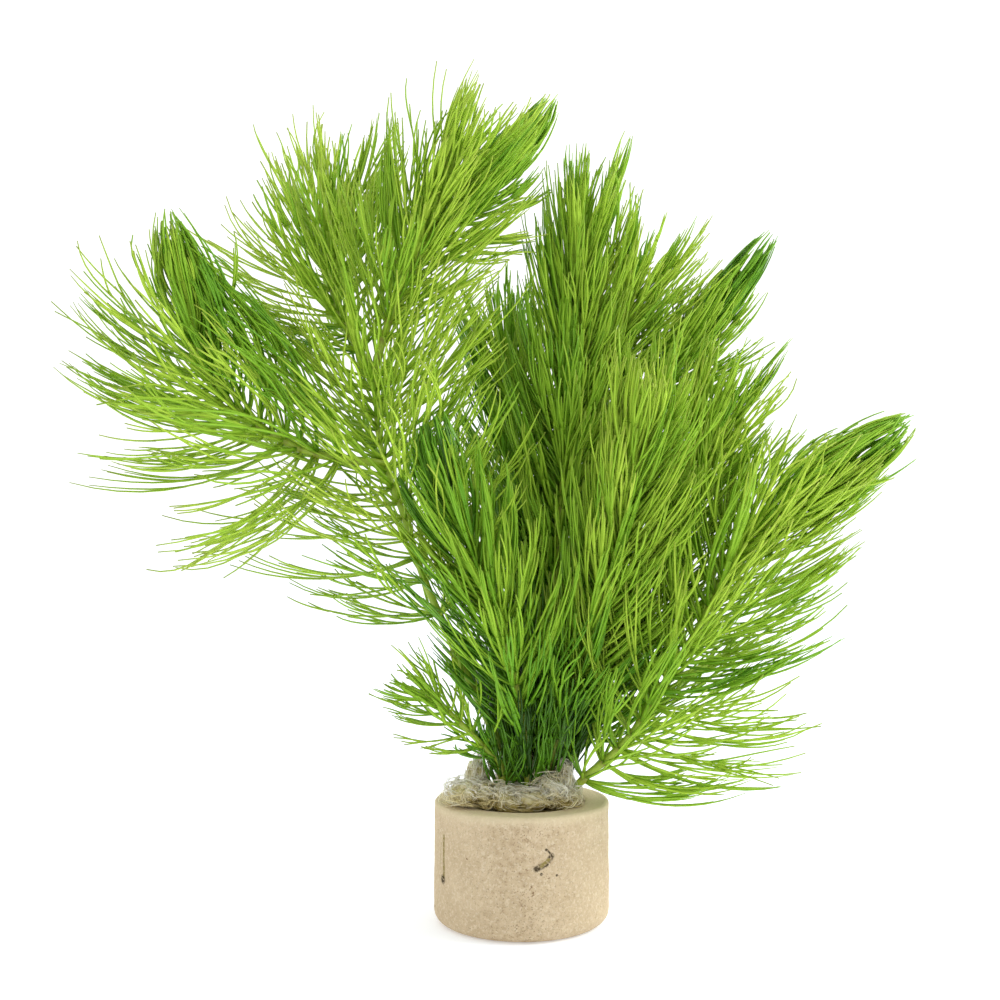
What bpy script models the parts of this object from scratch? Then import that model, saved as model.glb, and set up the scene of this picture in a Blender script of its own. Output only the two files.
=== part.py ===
"""Hornwort in a small clay pot: cut shoots held in the pot's bore by a plug of white wool.

Metres, +Z up. The origin is the middle of the pot's flat underside, -Y is the front.
"""

import math

import bmesh
import bpy
import numpy as np
from mathutils import Matrix, Vector

MM = 0.001

# The pot
POT_RADIUS = 20.0 * MM
POT_HEIGHT = 27.5 * MM
BORE_RADIUS = 14.2 * MM
FLOOR_THICKNESS = 3.2 * MM
FOOT_ROUNDING = 3.0 * MM
RIM_ROUNDING = 0.8 * MM
POT_SIDES = 36
RIM_STEPS = 2
FOOT_STEPS = 3
MERGE_DISTANCE = 0.01 * MM

# The wool
WOOL_GAP = 0.3 * MM
WOOL_RADIUS = BORE_RADIUS - WOOL_GAP
WOOL_COLLAR = 29.5 * MM
WOOL_SIDES = 28
LUMP_SEGMENTS = 12
LUMP_RINGS = 8
CHANNEL_MARGIN = 0.6 * MM
CHANNEL_SIDES = 7
CHANNEL_STEPS = 5

# The wool's lumps, in millimetres: the middle and the three half-lengths of each
WOOL_LUMPS = {
    "left_peak": ((-9.6, -1.0, 32.0), (3.8, 4.6, 6.2)),
    "lobe_on_rim": ((-12.6, -6.6, 31.2), (5.2, 4.6, 3.0)),
    "middle": ((-1.0, -4.5, 29.0), (9.5, 8.4, 3.6)),
    "right": ((6.6, -5.2, 31.0), (5.0, 5.2, 4.6)),
    "right_peak": ((9.4, -3.2, 33.0), (2.6, 3.4, 4.0)),
    "back": ((1.0, 6.5, 29.5), (9.0, 6.4, 4.2)),
}

# The stems
STEM_SIDES = 5
STEM_RADIUS = 1.15 * MM
STEM_TIP_RADIUS = 0.55 * MM
STEM_TAPER = 1.5
STEM_STEP = 8.0 * MM
NODE_HEIGHT = 1.3 * MM
ROUTE_SAMPLES = 10
GROWTH_REACH = 1.5 * MM
LAST_WHORL = 3.0 * MM
WHORL_CROWDING = 0.9

# The leaves: a leaf is longest low on its shoot, and leans out most there. Those that point at
# the viewer or away are folded closer to the stem, because the shoots lie flattened.
DEPTH = Vector((0.0, 1.0, 0.0))
DEPTH_FOLD = 0.45
LENGTH_LOWEST = 0.86
LENGTH_SLOPE = 0.35
LENGTH_FALL = 0.42
ANGLE_POWER = 1.3
LEAF_BEND = 26.0
FORK_AT = 0.5
BLADE_HALF_WIDTH = 1.25 * MM
BLADE_HALF_THICKNESS = 0.45 * MM
PRONG_SPREAD = 0.13
SECOND_PRONG = 0.9
SECOND_PRONG_LEAD = 0.07

# Wet leaves near the tip of a shoot are drawn together.
GATHER_REACH = 26.0 * MM
GATHER_MOST = 0.76
GATHER_POWER = 0.5
GATHER_CURVE = 1.6
GATHERED_WIDTH = 0.7

# Room round a leaf. One with no room swings round its stem, leans or is shorter: these are
# tried in turn, in degrees and shares of its length.
LEAF_GAP = 0.35 * MM
ROOT_CLEARANCE = 7.0 * MM
STEM = -1
WIDTH_SHARES = (1.0, 0.8, 0.8, 0.45, 0.45)
TESTED_SHARES = (0.3, 0.6, 1.0)
SWINGS = (0, 15, -15, 30, -30)
LEANS = (0, -12, 12)
SCALES = (1.0, 0.82, 0.64, 0.46)

# Clay and wool that the leaves stay clear of: radius and height of each
RIM_KEEP_OUT = (POT_RADIUS + 1.0 * MM, POT_HEIGHT + 1.0 * MM)
WOOL_KEEP_OUT = (WOOL_RADIUS, 38.5 * MM)

# Each shoot: its route in millimetres, from where it is cut to its growing tip, how far along
# the first whorl of leaves sits, how many whorls it has, the length of its longest leaves, the
# angles that leaves make with the stem at the lowest whorl and at the tip, and the point, if
# any, that the wet leaves near the tip are drawn together to.
SHOOTS = {
    "left_shoot": dict(
        route=[(-3, 0.5, 10), (-2.8, 0, 34), (-6, 0, 42), (-13, -1, 57), (-17.5, -2, 67),
               (-22.5, -3, 79), (-27, -3, 93), (-31, -2, 104), (-33, -1, 113), (-33.5, 0, 125)],
        first=64, whorls=7, leaf=48, angles=(70, 50), point=None),
    "left_shoot_side_branch": dict(
        route=[(-33.6, -4.0, 104.5), (-39, -4.5, 105), (-50, -5, 107.5), (-61.5, -7, 114.5),
               (-67.5, -8, 120), (-71.5, -8, 127), (-73, -8, 134), (-73.5, -8, 139)],
        first=8, whorls=8, leaf=47, angles=(57, 18), point=(-80, -8, 161.5)),
    "left_shoot_left_top": dict(
        route=[(-35, 2.4, 127), (-39, 5, 133), (-44, 9, 143), (-44.5, 11, 155), (-43.5, 12, 163)],
        first=5, whorls=6, leaf=42, angles=(58, 17), point=None),
    "left_shoot_right_top": dict(
        route=[(-33, -2.2, 127.5), (-30, -3, 137), (-25.5, -5, 147), (-21, -7, 156),
               (-17, -8, 163.5), (-15, -8, 167)],
        first=5, whorls=6, leaf=37, angles=(44, 17), point=None),
    "left_shoot_brush_top": dict(
        route=[(-23.5, -1.5, 150), (-19, 2, 155.5), (-12, 5, 163.5), (-5.5, 7, 171.5),
               (-2, 8, 176)],
        first=5, whorls=5, leaf=33, angles=(50, 14), point=(8, 8, 191)),
    "low_left_shoot": dict(
        route=[(-5.5, -4, 10), (-4.5, -4.5, 34), (-8, -6, 39.5), (-11.6, -8, 44),
               (-18, -9, 50), (-21.5, -10, 52.5)],
        first=33, whorls=4, leaf=20, angles=(58, 20), point=None),
    "front_shoot": dict(
        route=[(0, -5, 10), (1.5, -5, 35), (0, -8, 47), (-1.6, -11, 56), (-7, -14, 74),
               (-13.6, -16, 91), (-17, -16, 100)],
        first=30, whorls=8, leaf=35, angles=(40, 16), point=(-20, -16, 116)),
    "front_right_shoot": dict(
        route=[(5, -2.5, 10), (6.7, -3, 35), (10.5, -5.5, 50), (15.3, -8, 64.7),
               (21.6, -12, 87), (25, -14, 103), (26, -14, 110)],
        first=32, whorls=8, leaf=34, angles=(38, 15), point=None),
    "middle_shoot": dict(
        route=[(3.2, 2.5, 10), (4.2, 3, 35), (6.3, 5, 54), (8, 7, 72.5), (10.5, 9, 108),
               (12.5, 10, 137), (14, 10, 150), (15, 10, 157)],
        first=34, whorls=10, leaf=34, angles=(42, 16), point=None),
    "middle_shoot_upper_branch": dict(
        route=[(13.5, 11.6, 111), (17, 12.5, 120), (22.5, 13, 133), (27.5, 13, 145.5)],
        first=6, whorls=5, leaf=32, angles=(46, 20), point=None),
    "middle_shoot_lower_branch": dict(
        route=[(12.6, 10.6, 92), (20, 11, 102), (31, 13, 118), (42.5, 14, 135), (48, 14, 143.5)],
        first=8, whorls=6, leaf=36, angles=(46, 16), point=(61.5, 14, 161)),
    "right_middle_shoot": dict(
        route=[(8, 2.5, 10), (9, 2.5, 34), (18.2, 2, 50), (27.4, 1, 73), (36.4, 0, 96),
               (43.3, 0, 113)],
        first=32, whorls=8, leaf=34, angles=(46, 20), point=None),
    "right_shoot": dict(
        route=[(9.5, -3.5, 10), (10, -4, 27), (14.1, -5, 33), (19.7, -6, 38), (24.7, -7, 43.5),
               (28.5, -8, 49.3), (37.2, -8, 63.5), (45, -8, 77.5), (50, -7, 86), (57.5, -6, 92.5),
               (65.5, -5, 97.5), (71, -4, 102)],
        first=27, whorls=11, leaf=42, angles=(60, 16), point=(90, -4, 115)),
    "back_left_shoot": dict(
        route=[(0, 6, 10), (0.5, 6.5, 35), (-2, 10, 51), (-1, 14, 72), (0, 18, 91),
               (-2, 22, 118), (-4, 24, 132)],
        first=34, whorls=8, leaf=32, angles=(46, 20), point=None),
    "back_right_shoot": dict(
        route=[(4.4, 7.8, 10), (4.6, 8.5, 34), (7, 14, 57), (10, 19, 81), (14, 26, 110),
               (15, 30, 129)],
        first=34, whorls=8, leaf=34, angles=(48, 20), point=None),
}

# Colours: base colour, roughness
CLAY = ((0.56, 0.44, 0.27), 0.9)
WOOL = ((0.62, 0.60, 0.42), 0.85)
LEAF = ((0.16, 0.33, 0.03), 0.5)


def clear_scene():
    for thing in list(bpy.data.objects):
        bpy.data.objects.remove(thing)


def finish_material(name, finish):
    colour, roughness = finish
    material = bpy.data.materials.new(name)
    material.use_nodes = True
    shader = material.node_tree.nodes["Principled BSDF"]
    shader.inputs["Base Color"].default_value = (*colour, 1.0)
    shader.inputs["Roughness"].default_value = roughness
    shader.inputs["Metallic"].default_value = 0.0
    return material


def add_object(name, mesh, collection, finish):
    thing = bpy.data.objects.new(name, mesh)
    collection.objects.link(thing)
    mesh.materials.append(finish_material(name, finish))
    return thing


def add_helper(name, mesh, collection):
    thing = bpy.data.objects.new(name, mesh)
    collection.objects.link(thing)
    thing.hide_render = True
    thing.display_type = "WIRE"
    return thing


def quarter_turn(centre, radius, start, steps):
    """Points of a quarter circle in the profile plane, turning clockwise from the angle start."""
    x, z = centre
    angles = [start - 90.0 * i / steps for i in range(steps + 1)]
    return [
        (x + radius * math.cos(math.radians(a)), z + radius * math.sin(math.radians(a)))
        for a in angles
    ]


def make_pot(collection):
    """The pot is one turned profile, from the middle of its floor over the rim to its underside."""
    profile = [(0.0, FLOOR_THICKNESS), (BORE_RADIUS, FLOOR_THICKNESS)]
    rim_middle = POT_HEIGHT - RIM_ROUNDING
    inner_middle = (BORE_RADIUS + RIM_ROUNDING, rim_middle)
    outer_middle = (POT_RADIUS - RIM_ROUNDING, rim_middle)
    profile += quarter_turn(inner_middle, RIM_ROUNDING, 180, RIM_STEPS)
    profile += quarter_turn(outer_middle, RIM_ROUNDING, 90, RIM_STEPS)
    foot_middle = (POT_RADIUS - FOOT_ROUNDING, FOOT_ROUNDING)
    profile += quarter_turn(foot_middle, FOOT_ROUNDING, 0, FOOT_STEPS)
    profile.append((0.0, 0.0))
    mesh = bpy.data.meshes.new("clay_pot")
    points = [(x, 0.0, z) for x, z in profile]
    mesh.from_pydata(points, [(i, i + 1) for i in range(len(points) - 1)], [])
    pot = add_object("clay_pot", mesh, collection, CLAY)
    turn = pot.modifiers.new("turned", "SCREW")
    turn.steps = POT_SIDES
    turn.render_steps = POT_SIDES
    turn.use_merge_vertices = True
    turn.merge_threshold = MERGE_DISTANCE


def smooth_route(points_mm):
    """A Catmull-Rom curve through the points, in metres, and the length along it at each sample."""
    points = np.array(points_mm, float) * MM
    ends = [2 * points[0] - points[1], *points, 2 * points[-1] - points[-2]]
    t = np.linspace(0.0, 1.0, ROUTE_SAMPLES, endpoint=False)[:, None]
    pieces = []
    for a, b, c, d in zip(ends, ends[1:], ends[2:], ends[3:]):
        line = 2 * b + (c - a) * t + (2 * a - 5 * b + 4 * c - d) * t**2
        pieces.append((line + (3 * b - a - 3 * c + d) * t**3) / 2)
    curve = np.vstack([*pieces, points[-1:]])
    steps_along = np.linalg.norm(np.diff(curve, axis=0), axis=1)
    return curve, np.concatenate([[0.0], np.cumsum(steps_along)])


def place_on(route, along):
    """The point at this length along the route, and the direction of growth there."""
    curve, lengths = route
    ahead, behind = along + GROWTH_REACH, along - GROWTH_REACH
    here, front, back = (
        Vector([float(np.interp(a, lengths, curve[:, i])) for i in range(3)])
        for a in (along, min(ahead, lengths[-1]), max(behind, 0.0))
    )
    return here, (front - back).normalized()


def stem_radius(along, length):
    return STEM_RADIUS + (STEM_TIP_RADIUS - STEM_RADIUS) * (along / length) ** STEM_TAPER


def ring_points(route, along, radius, sides, turn):
    """Corners of the stem's cross-section at this length along the route."""
    middle, growth = place_on(route, along)
    across = growth.cross(DEPTH).normalized()
    other = growth.cross(across)
    angles = [turn + 2 * math.pi * i / sides for i in range(sides)]
    return [middle + radius * (math.cos(a) * across + math.sin(a) * other) for a in angles]


def tube(route, stations, radii, sides, turns):
    """A closed tube on the route, extruded from a short prism, and each station's side faces."""
    body = bmesh.new()
    bmesh.ops.create_cone(
        body, cap_ends=True, segments=sides, radius1=1.0, radius2=1.0, depth=2.0)
    around = sorted(body.verts, key=lambda v: math.atan2(v.co.y, v.co.x))
    lower, ring = [v for v in around if v.co.z < 0], [v for v in around if v.co.z > 0]
    top = next(f for f in body.faces if all(v.co.z > 0 for v in f.verts))
    first_corners = ring_points(route, stations[0], radii[0], sides, turns[0])
    for vertex, place in zip(lower, first_corners):
        vertex.co = place
    walls = [None]
    for index, (along, radius, turn) in enumerate(zip(stations[1:], radii[1:], turns[1:])):
        if index:
            order = {v: i for i, v in enumerate(ring)}
            top = bmesh.ops.extrude_discrete_faces(body, faces=[top])["faces"][0]
            partner = {}
            for edge in body.edges:
                a, b = edge.verts
                if a in order and b in top.verts:
                    partner[order[a]] = b
                elif b in order and a in top.verts:
                    partner[order[b]] = a
            ring = [partner[i] for i in range(sides)]
        for vertex, place in zip(ring, ring_points(route, along, radius, sides, turn)):
            vertex.co = place
        walls.append([f for e in top.edges for f in e.link_faces if f is not top])
    return body, walls


def segment_gaps(starts, ends, other_starts, other_ends):
    """The least distance between every segment of one list and every segment of the other."""
    p, q = starts[:, None], other_starts[None]
    u, v = (ends - starts)[:, None], (other_ends - other_starts)[None]
    w = p - q
    a, b, c = (u * u).sum(-1), (u * v).sum(-1), (v * v).sum(-1)
    d, e = (u * w).sum(-1), (v * w).sum(-1)
    least = np.full(np.broadcast(a, c).shape, np.inf)
    across = np.maximum(a * c - b * b, 1e-18)
    s = np.clip((b * e - c * d) / across, 0, 1)
    for _ in range(3):
        t = np.clip((b * s + e) / c, 0, 1)
        s = np.clip((b * t - d) / a, 0, 1)
        gap = np.linalg.norm(w + s[..., None] * u - t[..., None] * v, axis=-1)
        least = np.minimum(least, gap)
    return least


class Room:
    """What is already placed, as straight segments with a half-width, so that a leaf finds room.

    Each segment also keeps its shoot, the whorl it grows from (none for a stem) and how far along
    its stem it sits.
    """

    def __init__(self):
        self.ends = np.empty((0, 2, 3))
        self.facts = np.empty((0, 4))

    def add(self, starts, ends, reach, shoot, whorl, along):
        rest = np.full((len(starts), 3), (shoot, whorl, along), float)
        self.ends = np.vstack([self.ends, np.stack([starts, ends], axis=1)])
        self.facts = np.vstack([self.facts, np.column_stack([reach, rest])])

    def is_clear(self, starts, ends, reach, shoot, whorl, along):
        """A leaf may touch its own whorl and the stem close to where it grows, and nothing else."""
        half_widths, shoots, whorls, places = self.facts.T
        near_root = (whorls == STEM) & (np.abs(places - along) < ROOT_CLEARANCE)
        others = ~((shoots == shoot) & (near_root | (whorls == whorl)))
        gaps = segment_gaps(starts, ends, self.ends[others, 0], self.ends[others, 1])
        need = np.array(reach)[:, None] + half_widths[others] + LEAF_GAP
        return bool((gaps > need).all())


def meets_pot(points):
    radial, height = np.hypot(points[:, 0], points[:, 1]), points[:, 2]
    return any(((radial < r) & (height < z)).any() for r, z in (RIM_KEEP_OUT, WOOL_KEEP_OUT))


def leaf_points(root, growth, out, shape, point):
    """Where a leaf starts, where it forks and its two tips.

    The leaf is an arc in the plane of the growth direction and out. A leaf whose end comes near
    the wet tip of the shoot is drawn towards it, more the nearer it comes.
    """
    length, angle = shape
    turn = math.radians(LEAF_BEND)
    start = math.radians(angle) + turn / 2

    def on_arc(s):
        ahead = (math.sin(start) - math.sin(start - turn * s)) / turn
        sideways = (math.cos(start - turn * s) - math.cos(start)) / turn
        return root + length * (ahead * growth + sideways * out)

    fork, end = on_arc(FORK_AT), on_arc(1.0)
    pull = 0.0
    if point is not None:
        nearness = max(0.0, 1.0 - (end - point).length / GATHER_REACH)
        pull = GATHER_MOST * nearness**GATHER_POWER
        fork = fork + (point - end) * pull * FORK_AT**GATHER_CURVE
        end = end + (point - end) * pull
    side = growth.cross(out).normalized()
    spread = side * length * PRONG_SPREAD * (1.0 - pull)
    half_width = BLADE_HALF_WIDTH * (1.0 - (1.0 - GATHERED_WIDTH) * pull / GATHER_MOST)
    left = end + spread
    right = end - spread * SECOND_PRONG + growth * length * SECOND_PRONG_LEAD
    return fork, left, right, side, half_width


def grow_leaf(body, face, growth, out, points):
    """One forked leaf, drawn out of a face of the stem: a blade to the fork and two prongs."""
    fork, left, right, side, half_width = points
    middle = face.calc_center_median()
    heading = (fork - middle).normalized()
    normal = side.cross(heading).normalized()
    if normal.dot(growth) < 0:
        normal = -normal
    grown = bmesh.ops.extrude_discrete_faces(body, faces=[face])["faces"][0]
    for vertex in grown.verts:
        offset = vertex.co - middle
        sideways = math.copysign(half_width, offset.dot(growth.cross(out)))
        upwards = math.copysign(BLADE_HALF_THICKNESS, offset.dot(growth))
        vertex.co = fork + side * sideways + normal * upwards
    halves = bmesh.ops.triangulate(body, faces=[grown])["faces"]
    for half in halves:
        reach = half.calc_center_median() - fork
        tip = left if reach.dot(side) > 0 else right
        poked = bmesh.ops.poke(body, faces=[half])
        poked["verts"][0].co = tip


def plan_shoot(facts):
    """The shoot's curve, its length, and how far along each whorl of leaves sits."""
    route = smooth_route(facts["route"])
    length = float(route[1][-1])
    first, last = facts["first"] * MM, length - LAST_WHORL
    shares = [k / (facts["whorls"] - 1) for k in range(facts["whorls"])]
    return route, length, [first + (last - first) * s**WHORL_CROWDING for s in shares]


def make_stem(facts):
    """The stem with its rings, and the faces of each whorl's band, which the leaves grow from."""
    route, length, whorls = plan_shoot(facts)
    stations = [float(a) for a in np.arange(0.0, whorls[0] - STEM_STEP / 2, STEM_STEP)]
    turns = [0.0] * len(stations)
    band_of = {}
    for k, along in enumerate(whorls):
        turn = math.pi / STEM_SIDES * (k % 2)
        stations += [along - NODE_HEIGHT / 2, along + NODE_HEIGHT / 2]
        turns += [turn, turn]
        band_of[len(stations) - 1] = k
    stations.append(length)
    turns.append(turns[-1])
    radii = [stem_radius(a, length) for a in stations]
    body, walls = tube(route, stations, radii, STEM_SIDES, turns)
    bands = {k: walls[i] for i, k in band_of.items()}
    return body, bands, route, length, whorls


def find_room(room, leaf, point, growth, outward, place):
    """The first way of growing this leaf that touches nothing, or None."""
    root, length, angle = leaf
    for scale in SCALES:
        for lean in LEANS:
            for swing in SWINGS:
                out = Matrix.Rotation(math.radians(swing), 3, growth) @ outward
                shape = (length * scale, angle + lean)
                points = leaf_points(root, growth, out, shape, point)
                fork, left, right, _, half_width = points
                half_left, half_right = (fork + left) / 2, (fork + right) / 2
                starts = np.array([root, fork, fork, half_left, half_right])
                ends = np.array([fork, half_left, half_right, left, right])
                reach = [half_width * share for share in WIDTH_SHARES]
                tested = np.vstack([starts + (ends - starts) * s for s in TESTED_SHARES])
                if meets_pot(tested) or not room.is_clear(starts, ends, reach, *place):
                    continue
                room.add(starts, ends, reach, *place)
                return out, points
    return None


def add_leaves(shoot, facts, stem, room):
    """Grows each whorl's leaves from the faces of its band, and counts those with no room."""
    body, bands, route, _, whorls = stem
    point = Vector(facts["point"]) * MM if facts["point"] else None
    open_angle, tip_angle = facts["angles"]
    left_out = 0
    for k, along in enumerate(whorls):
        middle, growth = place_on(route, along)
        up = k / (len(whorls) - 1)
        angle = open_angle + (tip_angle - open_angle) * up**ANGLE_POWER
        length = facts["leaf"] * MM * (LENGTH_LOWEST + LENGTH_SLOPE * up - LENGTH_FALL * up**2)
        for face in list(bands[k]):
            root = face.calc_center_median()
            outward = (root - middle) - (root - middle).dot(growth) * growth
            outward.normalize()
            leaf = (root, length, angle * (1.0 - DEPTH_FOLD * abs(outward.dot(DEPTH))))
            found = find_room(room, leaf, point, growth, outward, (shoot, k, along))
            if found:
                grow_leaf(body, face, growth, *found)
            else:
                left_out += 1
    return left_out


def make_shoots(collection):
    """All the stems first, then the leaves, each of which looks for room among what is there."""
    stems = {name: make_stem(facts) for name, facts in SHOOTS.items()}
    room = Room()
    for shoot, (_, _, route, length, _) in enumerate(stems.values()):
        marks = [*np.arange(0.0, length, STEM_STEP / 2), length]
        middles = np.array([place_on(route, a)[0] for a in marks])
        for along, start, end in zip(marks, middles, middles[1:]):
            room.add([start], [end], [STEM_RADIUS], shoot, STEM, along)
    for shoot, (name, facts) in enumerate(SHOOTS.items()):
        left_out = add_leaves(shoot, facts, stems[name], room)
        body = stems[name][0]
        bmesh.ops.triangulate(body, faces=body.faces)
        bmesh.ops.recalc_face_normals(body, faces=body.faces)
        mesh = bpy.data.meshes.new(name)
        body.to_mesh(mesh)
        body.free()
        add_object(name, mesh, collection, LEAF)
        print(name, len(mesh.polygons), "faces,", left_out, "leaves had no room")


def lump(middle_mm, radii_mm):
    """A rounded lump of wool: a sphere stretched to three half-lengths."""
    body = bmesh.new()
    bmesh.ops.create_uvsphere(
        body, u_segments=LUMP_SEGMENTS, v_segments=LUMP_RINGS, radius=1.0)
    stretch = Matrix.Diagonal([r * MM for r in radii_mm]).to_4x4()
    bmesh.ops.transform(body, matrix=stretch, verts=body.verts)
    bmesh.ops.translate(body, vec=Vector(middle_mm) * MM, verts=body.verts)
    mesh = bpy.data.meshes.new("lump")
    body.to_mesh(mesh)
    body.free()
    return mesh


def make_wool(collection, cutters):
    """A plug that fills the bore, with the lumps that bulge out of it, cut where the stems go in."""
    body = bmesh.new()
    bottom = FLOOR_THICKNESS + WOOL_GAP
    made = bmesh.ops.create_cone(
        body, cap_ends=True, segments=WOOL_SIDES, radius1=WOOL_RADIUS, radius2=WOOL_RADIUS,
        depth=WOOL_COLLAR - bottom)
    bmesh.ops.translate(body, vec=(0, 0, (WOOL_COLLAR + bottom) / 2), verts=made["verts"])
    mesh = bpy.data.meshes.new("wool_plug")
    body.to_mesh(mesh)
    body.free()
    wool = add_object("wool_plug", mesh, collection, WOOL)
    for name, (middle, radii) in WOOL_LUMPS.items():
        joined = wool.modifiers.new(name, "BOOLEAN")
        joined.operation = "UNION"
        joined.object = add_helper(name, lump(middle, radii), cutters)
    for name, facts in SHOOTS.items():
        if facts["route"][0][2] > POT_HEIGHT / MM:
            continue
        route = smooth_route(facts["route"])
        stations = [STEM_STEP * i for i in range(CHANNEL_STEPS)]
        radii = [STEM_RADIUS + CHANNEL_MARGIN] * CHANNEL_STEPS
        channel, _ = tube(route, stations, radii, CHANNEL_SIDES, [0.0] * CHANNEL_STEPS)
        bmesh.ops.recalc_face_normals(channel, faces=channel.faces)
        shape = bpy.data.meshes.new(name + "_channel")
        channel.to_mesh(shape)
        channel.free()
        cut = wool.modifiers.new(name, "BOOLEAN")
        cut.operation = "DIFFERENCE"
        cut.object = add_helper(name + "_channel", shape, cutters)


def main():
    clear_scene()
    collection = bpy.data.collections.new("potted_hornwort")
    cutters = bpy.data.collections.new("cutters")
    bpy.context.scene.collection.children.link(collection)
    bpy.context.scene.collection.children.link(cutters)
    make_pot(collection)
    make_wool(collection, cutters)
    make_shoots(collection)


main()
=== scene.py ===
# %% [markdown]
# # A potted hornwort
#
# Hornwort is a water plant with no roots of its own. For sale or for an aquarium, a few cut
# shoots are pushed into a small clay pot and held there by a plug of white filter wool. Out of
# the water its thread-like leaves cling to each other and make wet points like a paintbrush's.
#
# This file dresses the solid model of that pot, wool and shoots. Each solid keeps its place and
# gets a finer skin: the clay its grain, the wool its fibres, and each shoot its dozens or
# hundreds of forked leaves, which grow by the same rule as the solid leaves under them.

import math

import bpy
import numpy as np
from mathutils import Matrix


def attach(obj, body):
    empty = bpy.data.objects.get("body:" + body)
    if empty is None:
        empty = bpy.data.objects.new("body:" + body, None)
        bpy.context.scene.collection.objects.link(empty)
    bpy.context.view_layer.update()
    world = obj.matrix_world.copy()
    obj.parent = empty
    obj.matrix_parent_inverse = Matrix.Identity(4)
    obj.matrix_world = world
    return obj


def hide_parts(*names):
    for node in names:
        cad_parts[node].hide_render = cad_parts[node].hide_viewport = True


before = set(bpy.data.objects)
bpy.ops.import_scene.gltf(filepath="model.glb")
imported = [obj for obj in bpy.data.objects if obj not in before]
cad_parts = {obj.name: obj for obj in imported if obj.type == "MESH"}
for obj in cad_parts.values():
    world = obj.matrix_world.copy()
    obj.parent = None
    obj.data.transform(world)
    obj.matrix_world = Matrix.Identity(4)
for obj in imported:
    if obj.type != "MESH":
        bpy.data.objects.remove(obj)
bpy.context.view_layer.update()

MM = 0.001
DEPTH = np.array([0.0, 1.0, 0.0])
print("solids to dress:", len(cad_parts))


# %% [markdown]
# ## Helpers for shader nodes
#
# A material is a small drawing of boxes and wires. It could be drawn by hand in the editor, but
# in code each box is one call, and its sockets are given a number, a colour, or the output of
# another box.

# %% Node helpers
# The places of the share and of the colours among all sockets of a Mix node
MIX_SHARE, MIX_FIRST, MIX_SECOND, MIX_RESULT = 0, 6, 7, 2


def fill(tree, node, sockets):
    """Gives each named socket a plain value, or connects it to another node's output."""
    for name, value in sockets.items():
        socket = node.inputs[name]
        if isinstance(value, bpy.types.NodeSocket):
            tree.links.new(value, socket)
        elif socket.type == "RGBA":
            socket.default_value = (*value, 1.0)
        else:
            socket.default_value = value


def put(tree, kind, sockets=None, **settings):
    """Adds a node of this kind, applies its settings and fills its sockets."""
    node = tree.nodes.new(kind)
    for name, value in settings.items():
        setattr(node, name, value)
    fill(tree, node, sockets or {})
    return node


def number(tree, operation, first, second=0.0, third=0.0):
    """The output of one Math node: operation applied to first, second and third."""
    node = put(tree, "ShaderNodeMath", {0: first, 1: second, 2: third}, operation=operation)
    return node.outputs[0]


def band(tree, value, start, end):
    """0 below start, 1 above end, and an even slope between them."""
    node = put(tree, "ShaderNodeMapRange", {
        "Value": value, "From Min": start, "From Max": end, "To Min": 0.0, "To Max": 1.0})
    return node.outputs["Result"]


def mixed(tree, share, first, second):
    """The colour between first and second at this share of the second."""
    node = put(tree, "ShaderNodeMix", data_type="RGBA")
    fill(tree, node, {MIX_SHARE: share, MIX_FIRST: first, MIX_SECOND: second})
    return node.outputs[MIX_RESULT]


def in_layers(tree, base, layers):
    """The base with colours laid over it in turn, each as far as its mask times its share says."""
    for mask, share, colour in layers:
        base = mixed(tree, number(tree, "MULTIPLY", mask, share), base, colour)
    return base


def ramp(tree, value, stops):
    """A colour that runs through the stops, each a place from 0 to 1 and a linear colour."""
    node = put(tree, "ShaderNodeValToRGB", {"Fac": value})
    elements = node.color_ramp.elements
    while len(elements) < len(stops):
        elements.new(1.0)
    for element, (place, colour) in zip(elements, stops):
        element.position = place
        element.color = (*colour, 1.0)
    return node.outputs["Color"]


def bumped(tree, height, strength, relief):
    """A normal that makes a height of 1 seem to stand out by this relief."""
    node = put(tree, "ShaderNodeBump", {
        "Height": height, "Strength": strength, "Distance": relief})
    return node.outputs["Normal"]


def distance(tree, place, point):
    """How far each place is from a point."""
    node = put(tree, "ShaderNodeVectorMath", {0: place, 1: point}, operation="DISTANCE")
    return node.outputs["Value"]


def own_map(tree):
    """The two values that a piece's shape gave to each of its points."""
    place = put(tree, "ShaderNodeUVMap", uv_map="OFBake").outputs["UV"]
    split = put(tree, "ShaderNodeSeparateXYZ", {0: place})
    return split.outputs["X"], split.outputs["Y"]


def new_material(name):
    """A material with its node tree and its Principled BSDF."""
    material = bpy.data.materials.new(name)
    material.use_nodes = True
    return material, material.node_tree, material.node_tree.nodes["Principled BSDF"]


helpers = (put, number, band, mixed, in_layers, ramp, bumped, distance, own_map)
print("helpers that add nodes:", ", ".join(helper.__name__ for helper in helpers))


# %% [markdown]
# ## The camera, the light and the floor
#
# A level camera a third of a metre away gives the photograph's view of a white table under large
# soft lights. Several lamps could give that light, but a white world lights everything evenly in
# one step, as a light tent does. It is dimmer on the camera's side, and one large lamp from the
# upper right adds the little direction that the photograph has.

# %% Camera
CAMERA_PLACE = (-4.9 * MM, -319.0 * MM, 96.0 * MM)
CAMERA_CLIP = 0.01
LENS_MM = 50.0
SENSOR_MM = 36.0

camera_data = bpy.data.cameras.new("camera")
camera_data.lens = LENS_MM
camera_data.sensor_width = SENSOR_MM
camera_data.clip_start = CAMERA_CLIP
camera = bpy.data.objects.new("camera", camera_data)
camera.location = CAMERA_PLACE
camera.rotation_euler = (math.radians(90), 0, 0)
bpy.context.scene.collection.objects.link(camera)
bpy.context.scene.camera = camera
print("camera at", CAMERA_PLACE)

# %% Light
WHITE = (1.0, 1.0, 1.0)
SIDE_STRENGTH = 1.25
CAMERA_SIDE_STRENGTH = 0.62
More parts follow.
